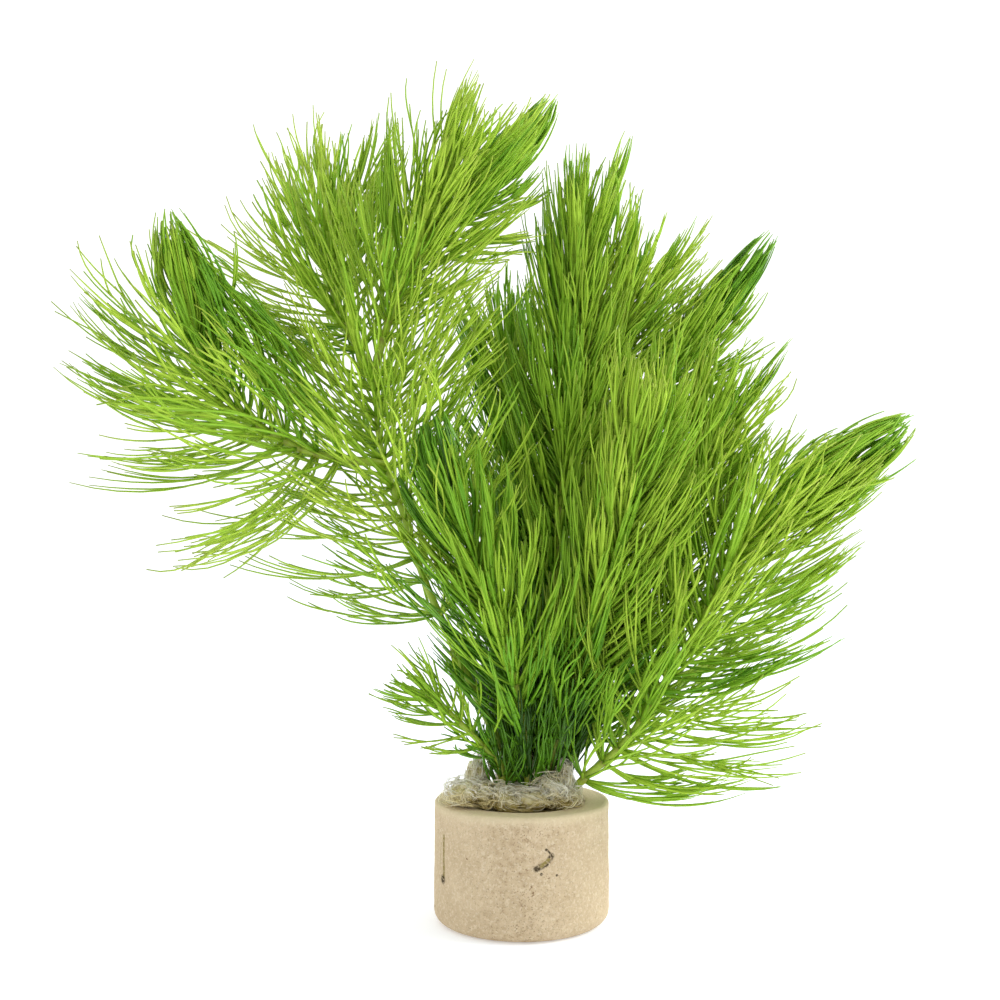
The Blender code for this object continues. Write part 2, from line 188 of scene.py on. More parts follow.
# Between these two Y values of a direction, the sky's strength rises from the one to the other
DIM_SIDE = (-1.0, 0.1)
LAMP_WATTS = 4.0
LAMP_SIZE = 0.5
LAMP_PLACE = (0.62, 0.0, 0.52)
LAMP_TILT = 52

world = bpy.data.worlds.new("light_tent")
world.use_nodes = True
sky = world.node_tree
sky_way = put(sky, "ShaderNodeTexCoord").outputs["Generated"]
to_back = band(sky, put(sky, "ShaderNodeSeparateXYZ", {0: sky_way}).outputs["Y"], *DIM_SIDE)
light = number(
    sky, "MULTIPLY_ADD", to_back, SIDE_STRENGTH - CAMERA_SIDE_STRENGTH, CAMERA_SIDE_STRENGTH)
seen = put(sky, "ShaderNodeLightPath").outputs["Is Camera Ray"]
fill(sky, sky.nodes["Background"], {
    "Color": WHITE, "Strength": number(sky, "MAXIMUM", light, seen)})
bpy.context.scene.world = world
bpy.context.scene.view_settings.view_transform = "Standard"

lamp_data = bpy.data.lights.new("soft_lamp", "AREA")
lamp_data.shape = "DISK"
lamp_data.size = LAMP_SIZE
lamp_data.energy = LAMP_WATTS
lamp = bpy.data.objects.new("soft_lamp", lamp_data)
lamp.location = LAMP_PLACE
lamp.rotation_euler = (math.radians(LAMP_TILT), 0, math.radians(90))
bpy.context.scene.collection.objects.link(lamp)
print("a white world and one lamp of", LAMP_WATTS, "watts")

# %% Floor
FLOOR_REACH = 6.0
FLOOR_WHITE = (0.83, 0.86, 0.91)
FLOOR_GLOW = 0.30
FLOOR_SIGNS = ((-1, -1), (1, -1), (1, 1), (-1, 1))

floor_mesh = bpy.data.meshes.new("floor")
floor_corners = [(FLOOR_REACH * x, FLOOR_REACH * y, 0) for x, y in FLOOR_SIGNS]
floor_mesh.from_pydata(floor_corners, [], [(0, 1, 2, 3)])
floor = bpy.data.objects.new("floor", floor_mesh)
bpy.context.scene.collection.objects.link(floor)
floor_finish, floor_tree, floor_shader = new_material("floor_white")
fill(floor_tree, floor_shader, {
    "Base Color": FLOOR_WHITE, "Roughness": 1.0, "Specular IOR Level": 0.0,
    "Emission Color": WHITE, "Emission Strength": FLOOR_GLOW})
floor_mesh.materials.append(floor_finish)
print("a white floor", 2 * FLOOR_REACH, "metres wide")


# %% [markdown]
# ## Helpers for shapes
#
# The pieces could be sculpted or grown from curves. Here they are worked out as whole arrays of
# numbers, because hundreds of thousands of triangles then take seconds. Three tools are enough:
# waves that make an even surface uneven, tubes that follow paths, and profiles that are turned.
# Each comes where it is first used.

# %% Waves and unit lengths
WAVE_COUNT = 14
WAVE_LENGTHS = (0.6, 1.6)


def waves(points, size, seed):
    """Uneven values from about -1 to 1 that change over this size.

    The formula is a sum of sine waves, each with its own random direction, length and start,
    divided by twice the square root of half their number.
    """
    rng = np.random.default_rng(seed)
    directions = rng.normal(size=(WAVE_COUNT, 3))
    directions /= np.linalg.norm(directions, axis=1, keepdims=True)
    pitches = 2 * math.pi / (size * rng.uniform(*WAVE_LENGTHS, WAVE_COUNT))
    starts = rng.uniform(0, 2 * math.pi, WAVE_COUNT)
    total = np.sin(points @ directions.T * pitches + starts).sum(-1)
    return total / math.sqrt(WAVE_COUNT / 2) / 2


def unit(vectors):
    """The same directions with a length of 1: each is divided by its length."""
    return vectors / np.maximum(np.linalg.norm(vectors, axis=-1, keepdims=True), 1e-12)


trial = waves(np.linspace(0, 1, 500)[:, None] * DEPTH, 0.1, 1)
print("trial waves run from", round(trial.min(), 2), "to", round(trial.max(), 2))

# %% One piece from its surfaces
def make_piece(name, parts, finishes):
    """One object from several surfaces, smooth shaded, that rides on the plant's one body.

    Each part is points, triangles, the number of its finish and, where its colour follows the
    surface, a pair of values for each point, kept as the piece's map.
    """
    starts = np.cumsum([0] + [len(part[0]) for part in parts[:-1]])
    points = np.concatenate([part[0] for part in parts])
    triangles = np.concatenate([part[1] + start for part, start in zip(parts, starts)])
    mesh = bpy.data.meshes.new(name)
    mesh.vertices.add(len(points))
    mesh.vertices.foreach_set("co", points.astype(np.float32).ravel())
    mesh.loops.add(triangles.size)
    mesh.loops.foreach_set("vertex_index", triangles.astype(np.int32).ravel())
    mesh.polygons.add(len(triangles))
    mesh.polygons.foreach_set("loop_start", np.arange(0, triangles.size, 3, dtype=np.int32))
    mesh.polygons.foreach_set("material_index", np.concatenate(
        [np.full(len(part[1]), part[2], np.int32) for part in parts]))
    for finish in finishes:
        mesh.materials.append(finish)
    if len(parts[0]) > 3:
        places = np.concatenate([part[3] for part in parts])
        layer = mesh.uv_layers.new(name="OFBake", do_init=False)
        layer.uv.foreach_set("vector", places[triangles.ravel()].astype(np.float32).ravel())
    mesh.update(calc_edges=True)
    mesh.validate()
    mesh.shade_smooth()
    piece = bpy.data.objects.new(name, mesh)
    bpy.context.scene.collection.objects.link(piece)
    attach(piece, "root")
    print(name, len(points), "points,", len(triangles), "triangles")
    return piece


print("every piece rides on the body root")


# %% [markdown]
# ## Fired clay
#
# The pot is a short tube of sandy, light clay with a rounded rim and a dull, slightly gritty
# surface, fired without glaze. Grains of darker sand show as fine speckles. Two bits of straw
# have left marks: a thin upright line at the left and a small hook near the middle.
#
# A photograph of clay could be wrapped round it. Layers of noise are used instead, because they
# have no seam and no edge, and the grit is too small for geometry, so a bump makes it.

# %% A mottling that clay and wool share
def make_mottle_group():
    """Value from 0 to 1 that changes in patches of one size, with finer patches inside them."""
    group = bpy.data.node_groups.new("mottle", "ShaderNodeTree")
    for name in ("Size", "Detail", "Start", "End"):
        group.interface.new_socket(name, in_out="INPUT", socket_type="NodeSocketFloat")
    group.interface.new_socket("Value", in_out="OUTPUT", socket_type="NodeSocketFloat")
    given = put(group, "NodeGroupInput").outputs
    cloud = put(group, "ShaderNodeTexNoise", {
        "Vector": put(group, "ShaderNodeTexCoord").outputs["Object"],
        "Scale": number(group, "DIVIDE", 1.0, given["Size"]),
        "Detail": given["Detail"], "Roughness": 0.55})
    value = band(group, cloud.outputs["Fac"], given["Start"], given["End"])
    put(group, "NodeGroupOutput", {"Value": value})
    return group


MOTTLE = make_mottle_group()


def mottle(tree, size_mm, detail, start, end):
    """The mottling with patches of this size, cut to 0 at start and to 1 at end."""
    node = put(tree, "ShaderNodeGroup", {
        "Size": size_mm * MM, "Detail": detail, "Start": start, "End": end}, node_tree=MOTTLE)
    return node.outputs["Value"]


print("shared group:", MOTTLE.name)

# %% Clay colours and mottlings
POT_HEIGHT = 27.5 * MM
CLAY_LIGHT = (0.640, 0.510, 0.335)
CLAY_MAIN = (0.560, 0.435, 0.275)
CLAY_WARM = (0.410, 0.290, 0.165)
CLAY_PALE = (0.760, 0.650, 0.470)
# A paler colour on the rim's top: painted highlight
CLAY_RIM_HIGHLIGHT = (0.700, 0.600, 0.390)
GRIT_BROWN = (0.200, 0.115, 0.050)
STRAW_OLIVE = (0.230, 0.180, 0.040)
STRAW_DARK = (0.035, 0.022, 0.006)

# Each mottling of the clay: the size of its patches in millimetres, its detail, start and end
CLAY_PATCHES = (7.0, 4.0, 0.35, 0.65)
WARM_PATCHES = (1.2, 5.0, 0.44, 0.70)
PALE_GRAINS = (0.60, 3.0, 0.50, 0.66)
SPECKLES = (0.36, 2.0, 0.57, 0.68)
SPOTS = (1.5, 1.5, 0.735, 0.765)
GRIT = (0.5, 4.0, 0.25, 0.75)
PITS = (1.3, 3.0, 0.30, 0.42)

print("clay mottlings from", SPECKLES[0], "to", CLAY_PATCHES[0], "mm")

# %% The straw's marks
FRAYING = (0.45, 3.0, 0.30, 0.50)

# The straw's marks, in millimetres: the ends of each line and its half-width, and round blobs
SCRATCH = (((-17.4, -9.9, 21.2), (-17.4, -9.9, 12.1)), 0.55)
SCRATCH_BESIDE = (((-18.0, -8.7, 19.5), (-18.3, -8.1, 14.5)), 0.22)
HOOK_TOP = (((5.3, -19.3, 20.4), (6.3, -19.0, 19.3)), 0.28)
HOOK_BODY = (((6.3, -19.0, 19.1), (5.2, -19.3, 17.5)), 0.80)
HOOK_LOWER_BODY = (((5.2, -19.3, 17.5), (2.9, -19.8, 16.5)), 0.80)
HOOK_MIDDLE = (((5.6, -19.2, 18.3), (4.0, -19.6, 17.0)), 0.55)
BLOBS = (((-17.6, -9.5, 11.5), 1.25), ((2.9, -19.8, 16.4), 0.80), ((5.1, -19.3, 20.5), 0.40),
         ((4.0, -19.6, 15.3), 0.42), ((7.4, -18.6, 14.8), 0.35))
BESIDE_SHARE = 0.5


def near_mask(tree, gap, half_width_mm):
    """1 where the gap is under half of the half-width, fading to 0 at the half-width."""
    half_width = half_width_mm * MM
    return band(tree, gap, half_width, half_width * 0.5)


def line_mask(tree, place, line_mm, half_width_mm):
    """A mask round a straight line between two points.

    The nearest point of the line lies at a share of it: the step from its start to the place,
    times the line, over the line's length squared, kept between 0 and 1.
    """
    start, end = (np.array(point) * MM for point in line_mm)
    line = end - start
    step = put(tree, "ShaderNodeVectorMath", {0: place, 1: start}, operation="SUBTRACT").outputs[0]
    dot = put(tree, "ShaderNodeVectorMath", {0: step, 1: line}, operation="DOT_PRODUCT")
    share = band(tree, dot.outputs["Value"], 0.0, float(line @ line))
    along = put(tree, "ShaderNodeVectorMath", {0: tuple(line), "Scale": share}, operation="SCALE")
    return near_mask(tree, distance(tree, step, along.outputs[0]), half_width_mm)


def clay_marks(tree, place):
    """Masks of the two straws: where they are olive, and where they are dark."""
    def larger(first, second):
        return number(tree, "MAXIMUM", first, second)

    inner = line_mask(tree, place, *HOOK_MIDDLE)
    body = larger(line_mask(tree, place, *HOOK_BODY), line_mask(tree, place, *HOOK_LOWER_BODY))
    dark = larger(number(tree, "SUBTRACT", body, inner), line_mask(tree, place, *HOOK_TOP))
    for middle_mm, radius_mm in BLOBS:
        gap = distance(tree, place, np.array(middle_mm) * MM)
        dark = larger(dark, near_mask(tree, gap, radius_mm))
    beside = number(tree, "MULTIPLY", line_mask(tree, place, *SCRATCH_BESIDE), BESIDE_SHARE)
    olive = larger(larger(line_mask(tree, place, *SCRATCH), beside), inner)
    frayed = mottle(tree, *FRAYING)
    return number(tree, "MULTIPLY", olive, frayed), number(tree, "MULTIPLY", dark, frayed)


print("straw marks with", len(BLOBS), "blobs")

# %% Clay finish
# The warm and dark grains are fewest at the two sides and fade out at the rim
GRAIN_MIDDLE_HALF_WIDTH = 14.0 * MM
GRAIN_AT_SIDES = 0.35
# The painted highlight on the rim's top starts at this height
RIM_HIGHLIGHT_HEIGHT = 25.0 * MM
PIT_DEPTH = 0.7
STRAW_DEPTH = 1.2
CLAY_BUMP = 0.6
CLAY_BUMP_HEIGHT = 0.18 * MM


def make_clay():
    """Layers of colour with their masks, and a bump whose height is grit and pits less straw."""
    material, tree, shader = new_material("fired_clay")
    place = put(tree, "ShaderNodeTexCoord").outputs["Object"]
    split = put(tree, "ShaderNodeSeparateXYZ", {0: place})
    off_middle = number(tree, "ABSOLUTE", split.outputs["X"])
    to_middle = band(tree, off_middle, GRAIN_MIDDLE_HALF_WIDTH, 0.0)
    # The rim mask is where the painted highlight on the rim's top goes, and the grains fade out
    # under it
    rim = band(tree, split.outputs["Z"], RIM_HIGHLIGHT_HEIGHT, POT_HEIGHT)
    # The warm and dark grains gather in the middle and thin out towards the left and right
    grain_share = number(tree, "MULTIPLY_ADD", to_middle, 1 - GRAIN_AT_SIDES, GRAIN_AT_SIDES)
    grain_share = number(tree, "MULTIPLY", grain_share, number(tree, "SUBTRACT", 1.0, rim))
    speckles = number(tree, "MULTIPLY", mottle(tree, *SPECKLES), grain_share)
    olive, dark = clay_marks(tree, place)
    base = mixed(tree, mottle(tree, *CLAY_PATCHES), CLAY_MAIN, CLAY_LIGHT)
    base = in_layers(tree, base, [
        (mottle(tree, *WARM_PATCHES), grain_share, CLAY_WARM),
        (mottle(tree, *PALE_GRAINS), 0.6, CLAY_PALE),
        (speckles, 0.65, GRIT_BROWN),
        (mottle(tree, *SPOTS), 0.85, GRIT_BROWN),
        (rim, 0.7, CLAY_RIM_HIGHLIGHT),
        (olive, 0.9, STRAW_OLIVE),
        (dark, 0.95, STRAW_DARK)])
    pits = number(tree, "MULTIPLY", mottle(tree, *PITS), PIT_DEPTH)
    straw = number(tree, "MULTIPLY", number(tree, "MAXIMUM", olive, dark), STRAW_DEPTH)
    height = number(tree, "ADD", mottle(tree, *GRIT), pits)
    height = number(tree, "SUBTRACT", height, straw)
    fill(tree, shader, {
        "Base Color": base, "Roughness": 0.92, "Specular IOR Level": 0.25,
        "Normal": bumped(tree, height, CLAY_BUMP, CLAY_BUMP_HEIGHT)})
    return material


CLAY = make_clay()
print("finish:", CLAY.name)

# %% [markdown]
# ## The pot
#
# A pot is thrown or pressed round, so its wall could be a cylinder with bevels. It is turned from
# one fine profile instead, with round corners at the rim and the foot, and slow waves then take
# away the perfect roundness that gives a computed pot away. Its flat underside stays flat.

# %% A profile turned about an axis
def wall_triangles(index):
    """Two triangles for each square between neighbouring points in rings numbered by index."""
    beside = np.roll(index, -1, axis=-1)
    here, here_beside = index[..., :-1, :], beside[..., :-1, :]
    above, above_beside = index[..., 1:, :], beside[..., 1:, :]
    return [np.stack([here, here_beside, above_beside], -1),
            np.stack([here, above_beside, above], -1)]


def turned_surface(profile, steps):
    """Points and triangles of a profile turned about the Z axis.

    The profile runs from the axis back to the axis. Each of its points makes a ring with x as
    the radius and z as the height, and the two ends make one point each.
    """
    inner = profile[1:-1]
    turn = 2 * math.pi * np.arange(steps) / steps
    rings = np.stack([
        inner[:, 0, None] * np.cos(turn),
        inner[:, 0, None] * np.sin(turn),
        np.broadcast_to(inner[:, 1, None], (len(inner), steps))], -1)
    ends = np.array([[0, 0, profile[0, 1]], [0, 0, profile[-1, 1]]])
    index = np.arange(len(inner) * steps).reshape(len(inner), steps)
    start, finish = index.size, index.size + 1
    first, last = index[0], index[-1]
    caps = [np.stack([np.full(steps, start), np.roll(first, -1), first], -1),
            np.stack([np.full(steps, finish), last, np.roll(last, -1)], -1)]
    triangles = np.concatenate([part.reshape(-1, 3) for part in wall_triangles(index) + caps])
    return np.concatenate([rings.reshape(-1, 3), ends]), triangles


trial_points, trial_triangles = turned_surface(np.array([[0, 1], [1, 1], [1, 0], [0, 0]]), 8)
print("a trial drum:", len(trial_points), "points,", len(trial_triangles), "triangles")

# %% The pot's wall
POT_RADIUS = 20.0 * MM
BORE_RADIUS = 14.2 * MM
FLOOR_THICKNESS = 3.2 * MM
FOOT_ROUNDING = 3.0 * MM
RIM_ROUNDING = 0.8 * MM
RIM_HEIGHT = POT_HEIGHT - RIM_ROUNDING
QUARTER_STEPS = 9
PROFILE_STEPS = 190
POT_STEPS = 256
FLAT_FOOT = 0.3 * MM

# The waves in the wall: height and size in millimetres, and a seed
WALL_WAVES = ((0.10, 11, 3), (0.035, 2.5, 4))


def quarter(centre, radius, start):
    """Points of a quarter circle that turns clockwise from the angle start, in degrees."""
    angle = np.radians(start - np.linspace(0, 90, QUARTER_STEPS))
    return np.stack([centre[0] + radius * np.cos(angle), centre[1] + radius * np.sin(angle)], -1)


def even_steps(line, count):
    """The same line with its points at even distances."""
    steps = np.concatenate([[0], np.cumsum(np.linalg.norm(np.diff(line, axis=0), axis=1))])
    marks = np.linspace(0, steps[-1], count)
    return np.stack([np.interp(marks, steps, line[:, i]) for i in range(line.shape[1])], -1)


pot_profile = np.concatenate([
    [[0.0, FLOOR_THICKNESS], [BORE_RADIUS, FLOOR_THICKNESS]],
    quarter((BORE_RADIUS + RIM_ROUNDING, RIM_HEIGHT), RIM_ROUNDING, 180),
    quarter((POT_RADIUS - RIM_ROUNDING, RIM_HEIGHT), RIM_ROUNDING, 90),
    quarter((POT_RADIUS - FOOT_ROUNDING, FOOT_ROUNDING), FOOT_ROUNDING, 0),
    [[0.0, 0.0]],
])
pot_points, pot_triangles = turned_surface(even_steps(pot_profile, PROFILE_STEPS), POT_STEPS)
uneven = sum(height * MM * waves(pot_points, size * MM, seed) for height, size, seed in WALL_WAVES)
uneven = uneven * (pot_points[:, 2] > FLAT_FOOT)
pot_points = pot_points + unit(pot_points * [1, 1, 0]) * uneven[:, None]
pot = make_piece("clay_pot_turned", [(pot_points, pot_triangles, 0)], [CLAY])
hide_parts("clay_pot")


# %% [markdown]
# ## Filter wool
#
# The plug is a pinch of synthetic wool, pushed into the bore round the stems. Wet, it slumps into
# soft lumps that look greyish and half see-through, with loose fibres looping out of them and
# tan silt caught in the folds, most of it low down.
#
# Hair curves would be the quick way to make it. Here its body is a set of uneven lumps on a plug
# that fills the bore, and on it lie over two thousand fibres as thin tubes, because a mesh stays
# the same in every program and the loops show against the clay.

# %% Finish of the wool's body
WOOL_WHITE = (0.880, 0.830, 0.640)
WOOL_GREY = (0.560, 0.490, 0.210)
WOOL_STAIN = (0.400, 0.310, 0.075)
WOOL_DEEP = (0.120, 0.105, 0.030)

# Each mottling of the wool: the size of its patches in millimetres, its detail, start and end
WOOL_PATCHES = (1.8, 4.0, 0.36, 0.60)
LOW_STAINS = (3.2, 3.0, 0.38, 0.52)
STAIN_PATCHES = (4.0, 3.0, 0.56, 0.66)
STRANDS = (0.35, 3.0, 0.3, 0.7)
STRAND_BUMP = 0.7
STRAND_BUMP_HEIGHT = 0.2 * MM

# Silt gathers below a height, in patches that are nowhere quite bare
STAIN_TOP = 31.5 * MM
STAIN_FULL = 28.8 * MM
STAIN_MOST = 0.9
STAIN_LEAST = 0.55

# The shade between the stems is even in its core and fades out at its radius
HOLLOW_MIDDLE = (1.5 * MM, 0.5 * MM, 31.0 * MM)
HOLLOW_RADIUS = 8.0 * MM
HOLLOW_CORE = 0.4


def make_wool_body():
    """White and grey patches, then silt low down and in spots, then shade between the stems."""
    material, tree, shader = new_material("wet_wool")
    place = put(tree, "ShaderNodeTexCoord").outputs["Object"]
    height = put(tree, "ShaderNodeSeparateXYZ", {0: place}).outputs["Z"]
    low = number(tree, "MULTIPLY", band(tree, height, STAIN_TOP, STAIN_FULL), STAIN_MOST)
    patchy = number(
        tree, "MULTIPLY_ADD", mottle(tree, *LOW_STAINS), 1 - STAIN_LEAST, STAIN_LEAST)
    gap = distance(tree, place, HOLLOW_MIDDLE)
    hollow = band(tree, gap, HOLLOW_RADIUS, HOLLOW_RADIUS * HOLLOW_CORE)
    base = mixed(tree, mottle(tree, *WOOL_PATCHES), WOOL_WHITE, WOOL_GREY)
    base = in_layers(tree, base, [
        (patchy, low, WOOL_STAIN),
        (mottle(tree, *STAIN_PATCHES), 0.7, WOOL_STAIN),
        (hollow, 0.85, WOOL_DEEP)])
    fill(tree, shader, {
        "Base Color": base, "Roughness": 0.6, "Subsurface Weight": 0.3,
        "Subsurface Radius": (1.0, 0.9, 0.7), "Subsurface Scale": 0.8 * MM,
        "Normal": bumped(tree, mottle(tree, *STRANDS), STRAND_BUMP, STRAND_BUMP_HEIGHT)})
    return material


WOOL_BODY = make_wool_body()
print("finish:", WOOL_BODY.name)

# %% Finish of the wool's fibres
FIBRE_TONES = ((0.0, (0.94, 0.91, 0.78)), (0.45, (0.80, 0.70, 0.38)),
               (0.75, (0.46, 0.34, 0.08)), (1.0, (0.20, 0.13, 0.03)))


def make_wool_fibre():
    """Each fibre's map holds its place from end to end and its tone, from white to silt."""
    material, tree, shader = new_material("wool_fibre")
    _, tone = own_map(tree)
    fill(tree, shader, {"Base Color": ramp(tree, tone, FIBRE_TONES), "Roughness": 0.38})
    return material


WOOL_FIBRE = make_wool_fibre()
print("finish:", WOOL_FIBRE.name)

# %% The wool's lumps
WOOL_GAP = 0.3 * MM
WOOL_RADIUS = BORE_RADIUS - WOOL_GAP
WOOL_COLLAR = 26.7 * MM
COLLAR_SLOPE = 1.0 * MM
PLUG_PROFILE_STEPS = 60
PLUG_STEPS = 72
LUMP_ROWS = 34
LUMP_COLUMNS = 52
LUMP_SEED = 20
BODY_SHARE = 0.88

# On a ball of radius 1: the height and the size of its swellings, creases and fine waves
SWELLING, SWELLING_SIZE = 0.20, 1.4
CREASE, CREASE_SIZE, CREASE_STEEPNESS = 0.13, 0.9, 4
RIPPLE, RIPPLE_SIZE = 0.06, 0.3

# The lumps, in millimetres: the middle and the three half-lengths of each
LUMPS = {
    "left_peak": ((-9.6, -2.5, 31.6), (2.9, 3.4, 6.3)),
    "lobe_on_rim": ((-12.4, -8.4, 30.6), (4.4, 3.8, 2.7)),
    "left_curl": ((-8.2, -8.8, 30.2), (3.4, 3.2, 2.4)),
    "middle_left": ((-3.6, -8.8, 28.8), (4.4, 4.6, 2.8)),
    "middle_right": ((2.2, -9.0, 28.7), (4.6, 4.4, 2.6)),
    "right": ((6.6, -6.6, 30.2), (4.2, 4.6, 3.9)),
    "hollow": ((0.5, -1.0, 28.4), (7.5, 5.5, 2.0)),
    "right_peak": ((9.6, -4.2, 32.2), (2.3, 3.2, 4.4)),
    "back": ((1.0, 6.8, 29.2), (9.0, 5.8, 4.0)),
    "right_front": ((9.6, -7.4, 28.6), (3.4, 3.6, 2.4)),
    "right_edge": ((11.0, -1.6, 28.6), (2.6, 5.4, 2.4)),
}


def lump_surface(middle_mm, radii_mm, seed):
    """An uneven ball: directions on a sphere, stretched to three half-lengths.

    Slow waves swell it, and creases run where quicker waves pass through 0.
    """
    rise = np.linspace(math.pi, 0, LUMP_ROWS)
    profile = np.stack([np.sin(rise), np.cos(rise)], -1)
    profile[[0, -1], 0] = 0.0
    ball, triangles = turned_surface(profile[::-1], LUMP_COLUMNS)
    folds = np.abs(waves(ball, CREASE_SIZE, seed + 1)) * CREASE_STEEPNESS
    creases = np.clip(folds, 0, 1) - 1
    swell = 1 + SWELLING * waves(ball, SWELLING_SIZE, seed) + CREASE * creases
    swell = swell + RIPPLE * waves(ball, RIPPLE_SIZE, seed + 2)
    reach = ball * swell[:, None] * BODY_SHARE * np.array(radii_mm) * MM
    return reach + np.array(middle_mm) * MM, triangles, 0


plug_profile = even_steps(np.array([
    [0.0, WOOL_COLLAR], [WOOL_RADIUS - COLLAR_SLOPE, WOOL_COLLAR],
    [WOOL_RADIUS, WOOL_COLLAR - COLLAR_SLOPE], [WOOL_RADIUS, FLOOR_THICKNESS + WOOL_GAP],
    [0.0, FLOOR_THICKNESS + WOOL_GAP]]), PLUG_PROFILE_STEPS)
plug_points, plug_triangles = turned_surface(plug_profile, PLUG_STEPS)
wool_parts = [(plug_points, plug_triangles, 0)]
wool_parts += [lump_surface(*shape, seed) for seed, shape in enumerate(LUMPS.values(), LUMP_SEED)]
wool = make_piece("wool_body", wool_parts, [WOOL_BODY])
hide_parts("wool_plug")

# %% Tubes that follow paths
THREAD_SIDES = 3


def tube_surfaces(centres, half_widths, thinness, sideways, sides=THREAD_SIDES):
    """Points and triangles of closed tubes, one for each path in centres.

    centres is tube by station by 3. At each station a ring of corners stands round the path: the
    half-width times cosine along the sideways direction, and times thinness and sine across it.
    """
    count, stations = centres.shape[:2]
    ahead = unit(np.gradient(centres, axis=1))
    across = unit(np.cross(ahead, sideways))
    along = np.cross(across, ahead)
    turn = 2 * math.pi * np.arange(sides) / sides
    reach = half_widths[..., None, None]
    rings = centres[:, :, None] + reach * (
        np.cos(turn)[:, None] * along[:, :, None]
        + thinness * np.sin(turn)[:, None] * across[:, :, None])
    index = np.arange(count * stations * sides).reshape(count, stations, sides)
    first, last = index[:, 0], index[:, -1]
    fan = np.arange(1, sides - 1)
    corner = np.zeros_like(fan)
    caps = [np.stack([first[:, corner], first[:, fan + 1], first[:, fan]], -1),
            np.stack([last[:, corner], last[:, fan], last[:, fan + 1]], -1)]
    triangles = np.concatenate([part.reshape(-1, 3) for part in wall_triangles(index) + caps])
    return rings.reshape(-1, 3), triangles


trial_path = np.linspace(0, 1, 4)[None, :, None] * DEPTH
trial_points, trial_triangles = tube_surfaces(trial_path, np.ones((1, 4)), 1.0, [1.0, 0.0, 0.0])
print("a trial tube:", len(trial_points), "points,", len(trial_triangles), "triangles")

# %% The paths of the wool's fibres
POT_CLEARANCE = 0.25 * MM
FIBRE_STATIONS = 12
LOCKS_PER_LUMP = 46
FIBRES_PER_LOCK = 6
FIBRE_SEED = 5

# A lock on a ball of radius 1: angles in radians, and shares of the radius
LOCK_TOWARDS = (0, -0.25, 0.35)
LOCK_LENGTH = (0.5, 1.9)
LOCK_BEND, BEND_PITCH = 0.4, (1.5, 3.5)
LOCK_CURL, CURL_PITCH, CURL_START = 0.09, (6, 16), (0, 6)
LOCK_HEIGHT = (0.98, 1.14)
LOCK_BOW = 0.15
FIBRE_FAN, FAN_FROM = 0.17, 0.2


def keep_off_pot(points):
    """Moves points that are inside the pot's wall to its nearer side, up or outwards."""
    radial = np.hypot(points[..., 0], points[..., 1])
    up = POT_HEIGHT + POT_CLEARANCE - points[..., 2]
    out = POT_RADIUS + POT_CLEARANCE - radial
    inside = (up > 0) & (out > 0) & (radial > BORE_RADIUS - POT_CLEARANCE)
    lift = np.where(inside & (up <= out), up, 0.0)
    push = np.where(inside & (up > out), out, 0.0) / np.maximum(radial, 1e-6)
    return points + np.stack([points[..., 0] * push, points[..., 1] * push, lift], -1)


def fibre_paths(middle_mm, radii_mm, rng):
    """Paths that lie on a lump in small locks, and here and there lift off it in a loop.

    A lock is part of a great circle on the unit ball, with a slow side step and a curl. Its height
    over the ball is a small share plus a bow that few locks have much of. The fibres of a lock
    start together and fan out with the square of the way along. The lump's size stretches all.
    """
    locks = (LOCKS_PER_LUMP, 1, 1)
    s = np.linspace(0, 1, FIBRE_STATIONS)[None, :, None]
    start = unit(rng.normal(size=(LOCKS_PER_LUMP, 1, 3)) + LOCK_TOWARDS)
    heading = unit(np.cross(start, rng.normal(size=(LOCKS_PER_LUMP, 1, 3))))
    aside = np.cross(start, heading)
    turn = rng.uniform(*LOCK_LENGTH, locks) * s
    bend = rng.normal(0, LOCK_BEND, locks) * np.sin(turn * rng.uniform(*BEND_PITCH, locks))
    curl = LOCK_CURL * np.sin(
        rng.uniform(*CURL_PITCH, locks) * s + rng.uniform(*CURL_START, locks))
    path = unit(np.cos(turn) * start + np.sin(turn) * heading + (bend + curl) * aside)
    bow = rng.exponential(LOCK_BOW, locks) * np.sin(math.pi * s)
    path = path * (rng.uniform(*LOCK_HEIGHT, locks) + bow)
    fan = rng.normal(0, FIBRE_FAN, (LOCKS_PER_LUMP, FIBRES_PER_LOCK, 1, 3))
    fan = fan * (FAN_FROM + s**2)[:, None]
    paths = (path[:, None] + fan).reshape(-1, FIBRE_STATIONS, 3)
    return paths * np.array(radii_mm) * MM + np.array(middle_mm) * MM


wool_rng = np.random.default_rng(FIBRE_SEED)
paths = np.concatenate([fibre_paths(middle, radii, wool_rng) for middle, radii in LUMPS.values()])
paths = keep_off_pot(paths)
print("fibre paths:", len(paths))

# %% The wool's fibres
FIBRE_FLOOR = 27.3 * MM
FIBRE_RADIUS = 0.042 * MM
FIBRE_WIDTHS = (0.7, 1.6)
STAIN_DEPTH = 3.5 * MM
CLEAN_TONE = 0.08
LOW_TONE = 0.50
WAVE_TONE, TONE_WAVE_SIZE, TONE_WAVE_SEED = 0.30, 5 * MM, 9
FIBRE_TONE_SPREAD = 0.12

